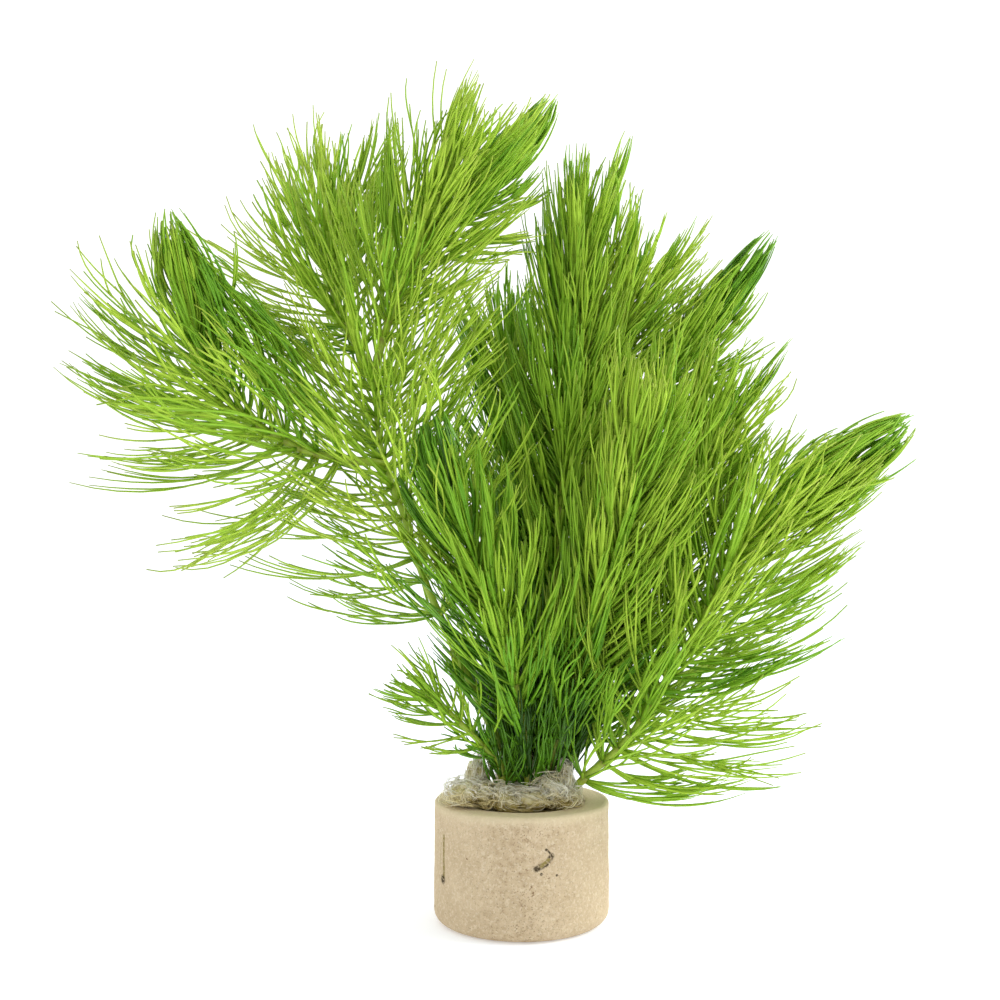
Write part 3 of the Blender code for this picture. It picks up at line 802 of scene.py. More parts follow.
paths = paths[(paths[:, :, 2] > FIBRE_FLOOR).all(axis=1)]
fibre_count = len(paths)
widths = FIBRE_RADIUS * wool_rng.uniform(*FIBRE_WIDTHS, (fibre_count, 1))
fibre_points, fibre_triangles = tube_surfaces(
    paths, widths * np.ones((1, FIBRE_STATIONS)), 1.0, wool_rng.normal(size=(fibre_count, 1, 3)))
low = np.clip((STAIN_TOP - paths[:, :, 2].mean(axis=1)) / STAIN_DEPTH, 0, 1)
slow_tone = WAVE_TONE * waves(paths.mean(axis=1), TONE_WAVE_SIZE, TONE_WAVE_SEED)
tone = CLEAN_TONE + LOW_TONE * low + slow_tone
tone = np.clip(tone + wool_rng.normal(0, FIBRE_TONE_SPREAD, fibre_count), 0, 1)
fibre_map = np.stack([
    np.tile(np.repeat(np.linspace(0, 1, FIBRE_STATIONS), THREAD_SIDES), fibre_count),
    np.repeat(tone, FIBRE_STATIONS * THREAD_SIDES)], -1)
make_piece("wool_fibres", [(fibre_points, fibre_triangles, 0, fibre_map)], [WOOL_FIBRE])


# %% [markdown]
# ## Hornwort green
#
# A dry leaf is a bright yellow-green thread with a faint brown tip. Where leaves cling together
# wet, they turn a deeper green with less yellow in it, and shine. The stem is olive with a
# brownish ring at each node.
#
# Thousands of leaves can't each have a drawn texture. Each leaf's map instead holds two numbers,
# how far along it a point is and how deep its green is, and the finish makes them a colour.

# %% Leaf finish
LEAF_TONES = 0.80
LEAF_GREENS = ((0.0, (0.530, 0.720, 0.068)), (0.20, (0.400, 0.620, 0.038)),
               (0.36, (0.265, 0.510, 0.021)), (0.50, (0.155, 0.390, 0.014)),
               (0.64, (0.100, 0.270, 0.008)), (LEAF_TONES, (0.028, 0.088, 0.004)))
LEAF_TIP = (0.170, 0.150, 0.035)
TIP_FROM = 0.88
TIP_SHARE = 0.4
WET_FROM = 0.40
DRY_ROUGHNESS = 0.60
WET_SHINE = 0.22
SHINE_TONES = (0.3, 0.6)


def make_leaf_finish():
    """A green for each tone, a brown tip on dry leaves, and less roughness the wetter they are."""
    material, tree, shader = new_material("hornwort_leaf")
    along, tone = own_map(tree)
    dry = band(tree, tone, WET_FROM, WET_FROM / 2)
    tip = number(tree, "MULTIPLY", band(tree, along, TIP_FROM, 1.0), dry)
    shine = number(tree, "MULTIPLY", band(tree, tone, *SHINE_TONES), WET_SHINE)
    fill(tree, shader, {
        "Base Color": in_layers(tree, ramp(tree, tone, LEAF_GREENS), [(tip, TIP_SHARE, LEAF_TIP)]),
        "Roughness": number(tree, "SUBTRACT", DRY_ROUGHNESS, shine), "Specular IOR Level": 0.35})
    return material


LEAF = make_leaf_finish()
print("finish:", LEAF.name)

# %% Stem finish
NODE_BROWN = (0.190, 0.170, 0.016)
NEAR_NODE = (0.290, 0.330, 0.028)
STEM_OLIVE = (0.390, 0.520, 0.045)
STEM_GREEN = (0.340, 0.540, 0.030)
STEM_COLOURS = ((0.0, NODE_BROWN), (0.12, NEAR_NODE), (0.35, STEM_OLIVE),
                (0.65, STEM_OLIVE), (0.88, NEAR_NODE), (1.0, NODE_BROWN))
STEM_FROM = 0.86
STEM_TO = 0.99


def make_stem_finish():
    """Brown at the nodes and olive between them, and greener towards the tip."""
    material, tree, shader = new_material("hornwort_stem")
    between, tone = own_map(tree)
    greener = band(tree, tone, STEM_FROM, 1.0)
    base = in_layers(tree, ramp(tree, between, STEM_COLOURS), [(greener, 0.5, STEM_GREEN)])
    fill(tree, shader, {"Base Color": base, "Roughness": 0.42})
    return material


STEM = make_stem_finish()
print("finish:", STEM.name)

# %% [markdown]
# ## How a shoot grows
#
# A hornwort stem carries whorls of leaves. Low on the shoot the leaves stand out far from the
# stem and are long; towards the tip they close up along it like a brush.
#
# A few copies of one modelled leaf would look like a pattern. So the routes of the solid model
# carry about three times its whorls, with more leaves in each and nearly its angles and lengths,
# and every leaf has its own small differences.

# %% The shoots
# Lengths are in millimetres and angles in degrees. Every shoot gives its route from where it is
# cut to its growing tip, first (how far along its first open whorl sits), leaf (the length of
# its longest leaves), angles (what leaves make with the stem at that whorl and at the tip), wet
# (how deep its green is, 0 to 1) and held (how closely its leaves cling, 0 to 1). One with a
# point, where its wet tip is drawn together, also gives grasp (how far beside the tip's axis
# leaves are caught) and cone (the slope of the cone that they are drawn into).
USUAL = dict(
    foot=False,  # has folded leaves on the stem below its first open whorl
    fork=None,  # where its stem leaves its parent's
    stem=0.95,  # the stem's radius at its foot
    leaves=13,  # in each whorl
    spacing=3.1,  # from whorl to whorl
    crowding=0.85,  # 1 sets whorls evenly, and less brings them closer towards the tip
    bend=28.0,  # how far a leaf turns along its arc
    shorter_tip=0.0,  # the share of their length that leaves lose at the tip
    point=None,  # has no wet tip
    free_side=(0, 0, 0))  # leaves that grow out this way stay free of the cone

SHOOTS = {
    "left_shoot": dict(
        route=[(-3, 0.5, 10), (-2.8, 0, 34), (-6, 0, 42), (-13, -1, 57), (-17.5, -2, 67),
               (-22.5, -3, 79), (-27, -3, 93), (-31, -2, 104), (-33, -1, 113), (-33.5, 0, 125)],
        first=64, leaf=48, angles=(72, 50), stem=1.15, spacing=3.9, crowding=0.72, bend=44,
        wet=0.05, held=0.05),
    "left_shoot_side_branch": dict(
        route=[(-33.6, -4.0, 104.5), (-39, -4.5, 105), (-50, -5, 107.5), (-61.5, -7, 114.5),
               (-67.5, -8, 120), (-71.5, -8, 127), (-73, -8, 134), (-73.5, -8, 139)],
        fork=(-31.2, -1.9, 104.2), point=(-80, -8, 161.5), cone=0.2, grasp=26,
        free_side=(-1, 0, 0), first=8, leaf=53, angles=(57, 16), spacing=3.3, bend=60,
        shorter_tip=0.1, wet=0.08, held=0.12),
    "left_shoot_left_top": dict(
        route=[(-35, 2.4, 127), (-39, 5, 133), (-44, 9, 143), (-44.5, 11, 155), (-43.5, 12, 163)],
        fork=(-33.4, 0, 124), first=5, leaf=46, angles=(58, 17), spacing=3.2, bend=26,
        shorter_tip=0.2, wet=0.0, held=0.3),
    "left_shoot_right_top": dict(
        route=[(-33, -2.2, 127.5), (-30, -3, 137), (-25.5, -5, 147), (-21, -7, 156),
               (-17, -8, 163.5), (-15, -8, 167)],
        fork=(-33.4, 0, 124), first=5, leaf=39, angles=(42, 15), spacing=3.2, bend=26,
        wet=0.05, held=0.3),
    "left_shoot_brush_top": dict(
        route=[(-23.5, -1.5, 150), (-19, 2, 155.5), (-12, 5, 163.5), (-5.5, 7, 171.5),
               (-2, 8, 176)],
        fork=(-25.3, -4.8, 147.2), point=(8, 8, 192), cone=0.28, grasp=30, first=4, leaf=34,
        angles=(54, 14), wet=0.15, held=0.6),
    "low_left_shoot": dict(
        route=[(-5.5, -4, 10), (-4.5, -4.5, 34), (-8, -6, 39.5), (-11.6, -8, 44),
               (-18, -9, 50), (-21.5, -10, 52.5)],
        foot=True, first=33, leaf=20, leaves=8, angles=(58, 20), bend=40, wet=0.35, held=0.2),
    "front_shoot": dict(
        route=[(0, -5, 10), (1.5, -5, 35), (0, -8, 47), (-1.6, -11, 56), (-7, -14, 74),
               (-13.6, -16, 91), (-17, -16, 100)],
        foot=True, point=(-20, -16, 116), cone=0.85, grasp=60, first=30, leaf=36,
        angles=(40, 19), wet=0.42, held=0.7),
    "front_right_shoot": dict(
        route=[(5, -2.5, 10), (6.7, -3, 35), (10.5, -5.5, 50), (15.3, -8, 64.7),
               (21.6, -12, 87), (25, -14, 103), (26, -14, 110)],
        foot=True, first=32, leaf=38, angles=(38, 14), wet=0.12, held=0.42),
    "middle_shoot": dict(
        route=[(3.2, 2.5, 10), (4.2, 3, 35), (6.3, 5, 54), (8, 7, 72.5), (10.5, 9, 108),
               (12.5, 10, 137), (14, 10, 150), (15, 10, 157)],
        foot=True, first=34, leaf=41, angles=(40, 13), wet=0.28, held=0.42),
    "middle_shoot_upper_branch": dict(
        route=[(13.5, 11.6, 111), (17, 12.5, 120), (22.5, 13, 133), (27.5, 13, 145.5)],
        fork=(10.7, 9.1, 109.5), first=6, leaf=35, angles=(44, 18), wet=0.2, held=0.4),
    "middle_shoot_lower_branch": dict(
        route=[(12.6, 10.6, 92), (20, 11, 102), (31, 13, 118), (42.5, 14, 135), (48, 14, 143.5)],
        fork=(9.4, 8.1, 91), point=(61.5, 14, 161), cone=0.2, grasp=22, first=8, leaf=36,
        angles=(46, 16), wet=0.22, held=0.38),
    "right_middle_shoot": dict(
        route=[(8, 2.5, 10), (9, 2.5, 34), (18.2, 2, 50), (27.4, 1, 73), (36.4, 0, 96),
               (43.3, 0, 113)],
        foot=True, first=32, leaf=37, angles=(45, 18), bend=34, wet=0.08, held=0.3),
    "right_shoot": dict(
        route=[(9.5, -3.5, 10), (10, -4, 27), (14.1, -5, 33), (19.7, -6, 38), (24.7, -7, 43.5),
               (28.5, -8, 49.3), (37.2, -8, 63.5), (45, -8, 77.5), (50, -7, 86), (57.5, -6, 92.5),
               (65.5, -5, 97.5), (71, -4, 102)],
        point=(90, -4, 115), cone=0.42, grasp=26, first=24.5, leaf=45, leaves=15,
        angles=(58, 16), spacing=3.6, bend=48, wet=0.12, held=0.15),
    "back_left_shoot": dict(
        route=[(0, 6, 10), (0.5, 6.5, 35), (-2, 10, 51), (-1, 14, 72), (0, 18, 91),
               (-2, 22, 118), (-4, 24, 132)],
        foot=True, first=34, leaf=35, leaves=12, angles=(48, 20), wet=0.42, held=0.4),
    "back_right_shoot": dict(
        route=[(4.4, 7.8, 10), (4.6, 8.5, 34), (7, 14, 57), (10, 19, 81), (14, 26, 110),
               (15, 30, 129)],
        foot=True, first=34, leaf=34, leaves=10, angles=(48, 20), wet=0.4, held=0.5),
}
SHOOTS = {name: {**USUAL, **own} for name, own in SHOOTS.items()}
print(len(SHOOTS), "shoots and branches")

# %% Routes and whorls
ROUTE_SAMPLES = 14
GROWTH_REACH = 1.5 * MM
LAST_WHORL = 1.0 * MM
FOOT_LEVEL = 20.5 * MM
FOOT_SPACING = 2.8 * MM


def smooth_route(points_mm):
    """A Catmull-Rom curve through the points and the length along it at each sample."""
    points = np.array(points_mm, float) * MM
    ends = np.concatenate([[2 * points[0] - points[1]], points, [2 * points[-1] - points[-2]]])
    a, b, c, d = (ends[i:len(ends) - 3 + i, None] for i in range(4))
    t = np.linspace(0, 1, ROUTE_SAMPLES, endpoint=False)[None, :, None]
    curve = (2 * b + (c - a) * t + (2 * a - 5 * b + 4 * c - d) * t**2
             + (3 * b - a - 3 * c + d) * t**3) / 2
    curve = np.concatenate([curve.reshape(-1, 3), points[-1:]])
    steps = np.linalg.norm(np.diff(curve, axis=0), axis=1)
    return curve, np.concatenate([[0.0], np.cumsum(steps)])


def place_on(route, along):
    """Points at these lengths along the route, and the direction of growth there."""
    curve, lengths = route

    def at(a):
        return np.stack([np.interp(a, lengths, curve[:, i]) for i in range(3)], -1)

    return at(along), unit(at(along + GROWTH_REACH) - at(along - GROWTH_REACH))


def whorl_places(facts, length):
    """How far along each whorl sits: closer together towards the tip, by a power of its rank.

    Below the first open whorl come the foot whorls, whose leaves are folded up along the stem.
    Their rise is below 0, and it runs from 0 to 1 over the open whorls.
    """
    first, last = facts["first"] * MM, length - LAST_WHORL
    count = int(round((last - first) / (facts["spacing"] * MM))) + 1
    rise = np.linspace(0, 1, count)
    places = first + (last - first) * rise ** facts["crowding"]
    foot = np.arange(FOOT_LEVEL, first - 0.5 * FOOT_SPACING, FOOT_SPACING) if facts["foot"] else []
    return np.concatenate([foot, places]), np.concatenate([np.full(len(foot), -1.0), rise])


whorl_total = sum(
    len(whorl_places(facts, smooth_route(facts["route"])[1][-1])[0]) for facts in SHOOTS.values())
print(whorl_total, "whorls in all")

# %% Stems
STEM_TIP_RADIUS = 0.50 * MM
STEM_TAPER = 1.5
STEM_SIDES = 10
STEM_STATION = 0.7 * MM
NODE_SWELL = 0.16
NODE_HALF_HEIGHT = 0.55 * MM
RING_REACH = USUAL["spacing"] * MM / 2
BARE_NODE_START = 4 * MM
BARE_NODE_SPACING = 5 * MM


def stem_radius(facts, share):
    """The radius falls from the foot to the tip with a power of the share of the length."""
    foot = facts["stem"] * MM
    return foot + (STEM_TIP_RADIUS - foot) * share**STEM_TAPER


def stem_surface(facts, whorls, length):
    """A tapering tube on the route with a low swelling at each node.

    The radius is multiplied by 1 plus the swelling, which is a bell curve of the distance to the
    nearest node. The tube starts inside its parent's stem, so it has no gap at the fork.
    """
    lead = [facts["fork"]] if facts["fork"] else []
    route = smooth_route(lead + facts["route"])
    full = route[1][-1]
    along = np.linspace(0, full, int(full / STEM_STATION))
    centres, _ = place_on(route, along)
    shift = full - length
    bare = np.arange(whorls[0] - BARE_NODE_START, 0, -BARE_NODE_SPACING)[::-1]
    nodes = np.concatenate([bare, whorls]) + shift
    gap = np.abs(along[:, None] - nodes[None]).min(axis=1)
    share = np.clip((along - shift) / length, 0, 1)
    radius = stem_radius(facts, share)
    radius = radius * (1 + NODE_SWELL * np.exp(-(gap / NODE_HALF_HEIGHT) ** 2))
    points, triangles = tube_surfaces(centres[None], radius[None], 1.0, DEPTH, STEM_SIDES)
    between = np.clip(gap / RING_REACH, 0, 1) / 2
    stem_map = np.stack([
        np.repeat(between, STEM_SIDES),
        np.repeat(STEM_FROM + (STEM_TO - STEM_FROM) * share, STEM_SIDES)], -1)
    return points, triangles, 1, stem_map


print("a stem station every", STEM_STATION / MM, "mm")

# %% [markdown]
# ## Where each leaf stands
#
# A leaf is an arc that turns towards the tip of its shoot, as the solid leaf is. It could be bent
# by a modifier after it is made. A formula for the arc is used instead, because the threads, the
# forks and the pull of the water can then all be added to the same line.

# %% Roots and arcs of leaves
CROWDED_TO_SIDES = 0.55
DEPTH_FOLD = 0.45
DEPTH_SHORTENING = 0.2
ROOT_SPREAD = 0.35 * MM
ROOT_SHARE = 0.6
TURN_SPREAD = 0.16
ANGLE_POWER = 1.3
ANGLE_SPREAD, HELD_ANGLE_SPREAD = 7.0, 3.5
LEAST_ANGLE = 4.0
FOOT_ANGLES = (6, 28.0)
FOOT_LENGTH = 0.85
LENGTH_LOWEST, LENGTH_SLOPE, LENGTH_FALL = 0.86, 0.35, 0.42
LENGTH_SPREAD = (0.64, 1.10)
TIP_STIFFNESS = 0.3
BEND_SPREAD = 9.0
LEAST_BEND = 5.0
VEER = 0.12
HELD_STRAIGHTENING = 0.6


def leaf_facts(facts, route, whorls, rise, length, rng):
    """For every leaf of a shoot: root, growth, outward direction, length, angle and bend.

    The turn round the stem goes in even steps, then moves by the sine of twice itself, so that
    more leaves point to the two sides than towards the viewer or away.
    """
    count, in_whorl = len(whorls), facts["leaves"]
    rank = np.repeat(np.arange(count), in_whorl)
    up = np.maximum(rise, 0)[rank]
    foot = rise[rank] < 0
    total = len(rank)
    along = whorls[rank] + rng.normal(0, ROOT_SPREAD, total)
    middle, growth = place_on(route, along)
    across = unit(np.cross(growth, DEPTH))
    other = np.cross(growth, across)
    step = 2 * math.pi / in_whorl
    turn = np.tile(np.arange(in_whorl), count) * step + rank * step * 0.5
    turn = turn + rng.normal(0, TURN_SPREAD, total)
    turn = turn - CROWDED_TO_SIDES / 2 * np.sin(2 * turn)
    out = np.cos(turn)[:, None] * across + np.sin(turn)[:, None] * other
    facing = np.abs(out @ DEPTH)
    radius = stem_radius(facts, np.clip(along / length, 0, 1))
    open_angle, tip_angle = facts["angles"]
    angle = open_angle + (tip_angle - open_angle) * up**ANGLE_POWER
    angle = angle * (1 - DEPTH_FOLD * facing)
    angle = angle + rng.normal(0, ANGLE_SPREAD - HELD_ANGLE_SPREAD * facts["held"], total)
    angle = np.where(foot, rng.uniform(*FOOT_ANGLES, total), angle)
    reach = facts["leaf"] * MM * (LENGTH_LOWEST + LENGTH_SLOPE * up - LENGTH_FALL * up**2)
    reach = reach * rng.uniform(*LENGTH_SPREAD, total)
    reach = reach * (1 - DEPTH_SHORTENING * facing) * np.where(foot, FOOT_LENGTH, 1.0)
    reach = reach * (1 - facts["shorter_tip"] * up**2)
    bend = facts["bend"] * (1 - TIP_STIFFNESS * up)
    return dict(
        root=middle + radius[:, None] * ROOT_SHARE * out, growth=growth, out=out,
        side=unit(np.cross(growth, out)), length=reach, up=up,
        angle=np.radians(np.maximum(angle, LEAST_ANGLE)),
        bend=np.radians(np.maximum(bend + rng.normal(0, BEND_SPREAD, total), LEAST_BEND)),
        veer=rng.normal(0, VEER, total) * (1 - HELD_STRAIGHTENING * facts["held"]),
        rank=rank, turn=turn, foot=foot)


def on_arc(leaf, s):
    """Points at shares s of each leaf: an arc that starts steeply and turns towards the tip.

    Ahead along the growth it has run the difference of two sines over the bend, and outwards the
    difference of two cosines over the bend, times the leaf's length. It also veers to one side
    with the square of s.
    """
    bend, start = leaf["bend"][:, None], (leaf["angle"] + leaf["bend"] / 2)[:, None]
    ahead = (np.sin(start) - np.sin(start - bend * s)) / bend
    sideways = (np.cos(start - bend * s) - np.cos(start)) / bend
    reach = leaf["length"][:, None]
    return (leaf["root"][:, None]
            + (reach * ahead)[..., None] * leaf["growth"][:, None]
            + (reach * sideways)[..., None] * leaf["out"][:, None]
            + (reach * leaf["veer"][:, None] * s**2)[..., None] * leaf["side"][:, None])


print("leaves are", *LENGTH_SPREAD, "times the length for their place, at least and at most")

# %% [markdown]
# ## What water does to the leaves
#
# Out of the water, the leaves at the tip of some shoots run together into a wet point, and
# elsewhere neighbours cling in small tufts. A simulation of wet hair could show that. Here the
# end of each leaf is moved by rule, into a cone behind the wet point or onto the middle line of
# its tuft, because a rule is quick and can be set to match the photograph shoot by shoot.

# %% Cones and tufts
CONE_REACH = 34.0 * MM
CONE_TIP_RADIUS = 0.5 * MM
CONE_EDGE = 6.0
BEYOND_POINT = 0.7
HOLD_SLOPE, HOLD_MOST = 1.5, 0.98
FREE_SLOPE, FREE_FROM, FREE_BELOW = 3, 0.9, 0.85
TUFT_SECTORS = 6
TUFT_WHORLS = 3
TUFT_TWIST = 0.37
TUFT_HELD, TUFT_TOP = 0.95, 0.3
STRONG_CLING = (0.62, 0.95)
WEAK_CLING = (0.0, 0.35)
FOOT_CLING = 0.2


def into_cone(facts, leaf, route, ends):
    """The shift of leaf ends into a cone that opens backwards from the wet point, and its hold.

    An end keeps its distance behind the point. Its distance beside the axis shrinks towards the
    cone's slope times that, fully near the point and less and less as far as CONE_REACH. Ends
    farther beside the axis than the shoot's grasp stay free, and so do leaves that grow out on
    the shoot's free side.
    """
    if not facts["point"]:
        return np.zeros_like(ends), np.zeros(len(ends))
    point = np.array(facts["point"]) * MM
    axis = unit(point - route[0][-1])
    behind = (point - ends) @ axis
    beside = ends - point + behind[:, None] * axis
    width = np.maximum(np.linalg.norm(beside, axis=1), 1e-9)
    depth = np.where(behind < 0, -BEYOND_POINT * behind, behind)
    near = np.clip(CONE_EDGE * (1 - width / (facts["grasp"] * MM)), 0, 1)
    free = FREE_SLOPE * (leaf["out"] @ np.array(facts["free_side"], float)) - FREE_FROM
    near = near * (1 - np.clip(free, 0, 1) * (leaf["up"] < FREE_BELOW))
    hold = np.clip(HOLD_SLOPE * (1 - depth / CONE_REACH), 0, HOLD_MOST) * near
    narrow = np.minimum(width, facts["cone"] * depth + CONE_TIP_RADIUS)
    width_share = 1 + (narrow / width - 1) * hold
    goal = point - axis * depth[:, None] + beside * width_share[:, None]
    return goal - ends, hold * (1 - narrow / width)


def into_tufts(facts, leaf, ends, rng):
    """The shift of leaf ends onto the middle line of their tuft, its hold and the tuft's number.

    A tuft is one sector of a few neighbouring whorls. Its line runs from the mean root to the mean
    end. Leaves keep how far along it they end, so a tuft that clings makes a pointed blade.
    """
    level = leaf["rank"] // TUFT_WHORLS
    sector = np.floor(leaf["turn"] / (2 * math.pi) * TUFT_SECTORS + TUFT_TWIST * level)
    tuft = level * TUFT_SECTORS + sector.astype(int) % TUFT_SECTORS
    count = np.maximum(np.bincount(tuft), 1)

    def mean(values):
        return np.stack([np.bincount(tuft, values[:, i]) for i in range(3)], -1) / count[:, None]

    middle = mean(ends)
    line = unit(middle - mean(leaf["root"]))
    beside = ends - middle[tuft]
    beside = beside - (beside * line[tuft]).sum(-1, keepdims=True) * line[tuft]
    top = (np.bincount(tuft, leaf["up"]) / count) ** 2
    strong = rng.uniform(size=len(count)) < TUFT_HELD * facts["held"] + TUFT_TOP * top
    cling = np.where(
        strong, rng.uniform(*STRONG_CLING, len(count)), rng.uniform(*WEAK_CLING, len(count)))[tuft]
    cling = np.where(leaf["foot"], FOOT_CLING, cling)
    return -beside * cling[:, None], cling, tuft


wet_points = sum(facts["point"] is not None for facts in SHOOTS.values())
print(wet_points, "shoots end in a wet point")

# %% How deep each leaf's green is
THICKET = np.array([2.5, 2.0]) * MM
THICKET_RADIUS = 11.0 * MM
THICKET_TOP = 88.0 * MM
THICKET_FLOOR = 36.0 * MM
THICKET_SHADE = 0.7
DRY_TONE, WET_TONE = 0.18, 0.42
PULLED_TONE, PULLED_WET_TONE = 0.18, 0.30
CLING_TONE = 0.08
# The foot leaves, folded low among the stems over the wool, get a deeper green: painted shade
FOOT_SHADE_TONE = 0.12
TUFT_TONE_SPREAD = 0.08
LEAF_TONE_SPREAD = 0.06
SLOW_TONE, SLOW_SIZE, SLOW_SEED = 0.10, 16 * MM, 31
SLOW_OUTWARDS = 4 * MM


def leaf_tones(facts, leaf, pull, cling, tuft, rng):
    """How deep each leaf's green is, from 0 to 1.

    It is the sum of the shoot's wetness, slow waves over the shoot, a value for each tuft, a
    smaller one for each leaf, the painted shade of the thicket over the wool, and more painted
    shade on the foot leaves.
    """
    wet, root = facts["wet"], leaf["root"]
    near = np.exp(-(((root[:, :2] - THICKET) / THICKET_RADIUS) ** 2).sum(-1))
    low = np.clip((THICKET_TOP - root[:, 2]) / (THICKET_TOP - THICKET_FLOOR), 0, 1)
    by_tuft = rng.normal(0, TUFT_TONE_SPREAD, tuft.max() + 1)[tuft]
    slow = SLOW_TONE * waves(root + SLOW_OUTWARDS * leaf["out"], SLOW_SIZE, SLOW_SEED)
    level = DRY_TONE + WET_TONE * wet + (PULLED_TONE + PULLED_WET_TONE * wet) * pull
    level = level + CLING_TONE * cling
    by_leaf = rng.normal(0, LEAF_TONE_SPREAD, len(cling))
    tone = level + slow + by_tuft + by_leaf + THICKET_SHADE * (near * low)
    # Painted shade on the foot leaves
    tone = np.where(leaf["foot"], tone + FOOT_SHADE_TONE, tone)
    return np.clip(tone, 0, 1) * LEAF_TONES


print("the thicket's shade reaches", THICKET_TOP / MM, "mm up")

# %% [markdown]
# ## The threads of a leaf
#
# Each leaf forks once near its foot and again half way, so it ends in four threads. They part
# sideways and a little up or down, and some come back together, which gives the lens-shaped gaps
# that the photograph is full of.
#
# A flat card with threads painted on it would be lighter. Real threads are made, each a tube with
# three sides, because light falls between them and they look right from every side.

# %% How the threads of a leaf run
FIRST_FORK, FIRST_FORK_SPREAD = 0.27, (0.6, 1.35)
SECOND_FORK, SECOND_FORK_SPREAD = 0.54, (0.8, 1.25)
FORK_LEAN = 0.55
FIRST_PARTING = (0.16, 0.40)
SECOND_PARTING = (0.10, 0.28)
PARTING_POWER = 1.1
OPEN_CLOSING = (0.1, 1.5)
HELD_CLOSING = (0.7, 1.1)
HELD_SPREAD = (0.7, 1.2)
HELD_NARROWING = 0.6
WATER_STILLS = 0.85
WAVE_SIZES = (0.2, 1.1)
WAVE_PITCH, WAVE_STARTS = 5.5, (0, 6.3)
HOOK_SIZE, HOOK_POWER = 1.3 * MM, 5
SHIFT_POWER = 1.3


def thread_traits(facts, leaf, pull, cling, rng):
    """How each leaf's threads part, close, wave and hook: random, and less where water holds it."""
    total = len(pull)
    held = np.clip(facts["held"] * rng.uniform(*HELD_SPREAD, total), 0, 1)
    open_share = 1 - HELD_NARROWING * held
    loose = (1 - WATER_STILLS * pull) * (1 - WATER_STILLS * cling)
    lean = rng.normal(0, FORK_LEAN, (total, 2))
    side, normal = leaf["side"], np.cross(leaf["side"], leaf["growth"])
    return dict(
        ways=[unit(np.cos(a)[:, None] * side + np.sin(a)[:, None] * normal) for a in lean.T],
        wide=rng.uniform(*FIRST_PARTING, total) * open_share * leaf["length"] * loose,
        narrow=rng.uniform(*SECOND_PARTING, (2, total)) * open_share * leaf["length"] * loose,
        close=(rng.uniform(*OPEN_CLOSING, (3, total)) * (1 - held)
               + rng.uniform(*HELD_CLOSING, (3, total)) * held),
        wave_way=unit(rng.normal(size=(total, 3))),
        wave_size=rng.uniform(*WAVE_SIZES, total) * MM * loose,
        wave_start=rng.uniform(*WAVE_STARTS, total),
        hook_way=unit(rng.normal(size=(total, 3)) + leaf["growth"]),
        hook_size=rng.exponential(HOOK_SIZE, total) * loose,
        first_fork=FIRST_FORK * rng.uniform(*FIRST_FORK_SPREAD, total),
        second_fork=SECOND_FORK * rng.uniform(*SECOND_FORK_SPREAD, total))


def parting(s, fork, close):
    """How far two threads have parted at s: a slope from the fork, eased back where they close."""
    run = np.clip((s - fork) / (1 - fork), 0, 1)
    return run**PARTING_POWER * (1 - close * run)


def thread_paths(leaf, traits, shift, s, way, turn):
    """Centre lines at shares s of each leaf, parted one way at each fork.

    To the arc come the parting at each fork, the water's shift with a power of s, a wave that
    grows with s, and a hook with a high power of s, which shows at the end alone.
    """
    column = {name: value[:, None] for name, value in traits.items()
              if name not in ("ways", "narrow", "close")}
    close = [values[:, None] for values in traits["close"]]
    path = on_arc(leaf, s)
    apart = way * column["wide"] * parting(s, column["first_fork"], close[0])
    path = path + apart[..., None] * traits["ways"][0][:, None]
    if turn:
        branch = 0 if way > 0 else 1
        apart = turn * traits["narrow"][branch][:, None] * parting(
            s, column["second_fork"], close[branch + 1])
        path = path + apart[..., None] * traits["ways"][1][:, None]
    path = path + shift[:, None] * (s**SHIFT_POWER)[..., None]
    swing = column["wave_size"] * np.sin(WAVE_PITCH * s + column["wave_start"]) * s
    path = path + swing[..., None] * column["wave_way"]
    path = path + (column["hook_size"] * s**HOOK_POWER)[..., None] * column["hook_way"]
    return keep_off_pot(path)


print("forks at", FIRST_FORK, "and", SECOND_FORK, "of a leaf's length")

# %% Leaves as tubes
FOOT_HALF_WIDTH = 0.50 * MM
FORK_HALF_WIDTH = 0.39 * MM
THREAD_HALF_WIDTH = 0.33 * MM
TIP_HALF_WIDTH = 0.20 * MM
HELD_TIP_HALF_WIDTH = 0.09 * MM
THREAD_THINNESS = 0.75
TIP_TAPER = 2.2
LEAST_WIDTH, WIDTH_SLOPE, WIDTH_LENGTH = 0.8, 0.2, 34 * MM
BRANCH_STATIONS = 4
THREAD_STATIONS = 6
THREAD_ENDS = (0.7, 1.0)

# Tubes run a little past each fork and start a little before it, so that they join
PAST_FIRST_FORK, PAST_SECOND_FORK, BEFORE_FORK = 1.04, 1.03, 0.97


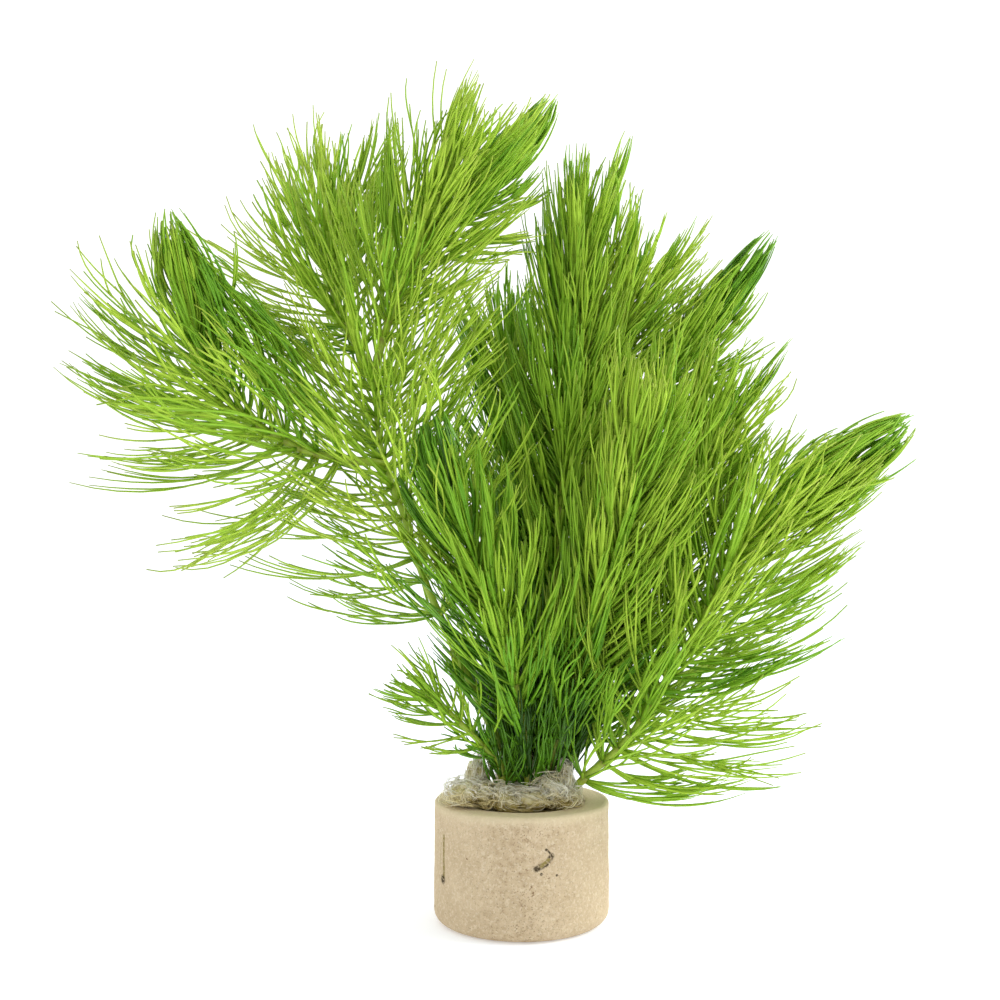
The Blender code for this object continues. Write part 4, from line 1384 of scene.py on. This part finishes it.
def leaf_surfaces(name, facts, route, whorls, rise, length):
    """All leaves of one shoot: a foot, two branches and four threads each, as closed tubes.

    A tube's half-width runs from that of its start to that of its end, along a power of the way,
    and is larger on a longer leaf.
    """
    rng = np.random.default_rng(len(name) * 101 + sum(map(ord, name)))
    leaf = leaf_facts(facts, route, whorls, rise, length, rng)
    total = len(leaf["length"])
    ends = on_arc(leaf, np.ones((1, 1)))[:, 0]
    cone_shift, pull = into_cone(facts, leaf, route, ends)
    tuft_shift, cling, tuft = into_tufts(facts, leaf, ends + cone_shift, rng)
    tone = leaf_tones(facts, leaf, pull, cling, tuft, rng)
    traits = thread_traits(facts, leaf, pull, cling, rng)
    first, second = traits["first_fork"], traits["second_fork"]
    sides = (1, -1)

    plan = [(np.zeros(total), first * PAST_FIRST_FORK, 0, 0, FOOT_HALF_WIDTH, FORK_HALF_WIDTH)]
    plan += [(first * BEFORE_FORK, second * PAST_SECOND_FORK, way, 0, FORK_HALF_WIDTH,
              THREAD_HALF_WIDTH) for way in sides]
    plan += [(second * BEFORE_FORK, rng.uniform(*THREAD_ENDS, total), way, turn,
              THREAD_HALF_WIDTH, TIP_HALF_WIDTH) for way in sides for turn in sides]
    parts = []
    for start, end, way, turn, width, end_width in plan:
        stations = THREAD_STATIONS if turn else BRANCH_STATIONS
        run = np.linspace(0, 1, stations)[None]
        s = start[:, None] + (end - start)[:, None] * run
        path = thread_paths(leaf, traits, cone_shift + tuft_shift, s, way, turn)
        slim = cling[:, None] if turn else 0.0
        last = end_width + (HELD_TIP_HALF_WIDTH - end_width) * slim
        half = width + (last - width) * run ** (TIP_TAPER if turn else 1.0)
        half = half * (LEAST_WIDTH + WIDTH_SLOPE * leaf["length"] / WIDTH_LENGTH)[:, None]
        points, triangles = tube_surfaces(path, half, THREAD_THINNESS, leaf["side"][:, None])
        end_share = s / s[:, -1:] if turn else s
        places = np.stack([
            np.repeat(np.clip(end_share, 0, 1), THREAD_SIDES, axis=1).ravel(),
            np.repeat(tone, stations * THREAD_SIDES)], -1)
        parts.append((points, triangles, 0, places))
    return parts


leaf_total = 0
for name, facts in SHOOTS.items():
    route = smooth_route(facts["route"])
    length = route[1][-1]
    whorls, rise = whorl_places(facts, length)
    parts = leaf_surfaces(name, facts, route, whorls, rise, length)
    parts.append(stem_surface(facts, whorls, length))
    piece = make_piece(name + "_leaves", parts, [LEAF, STEM])
    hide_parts(name)
    leaf_total += sum(len(part[1]) for part in parts)
print(leaf_total, "triangles of leaves and stems")
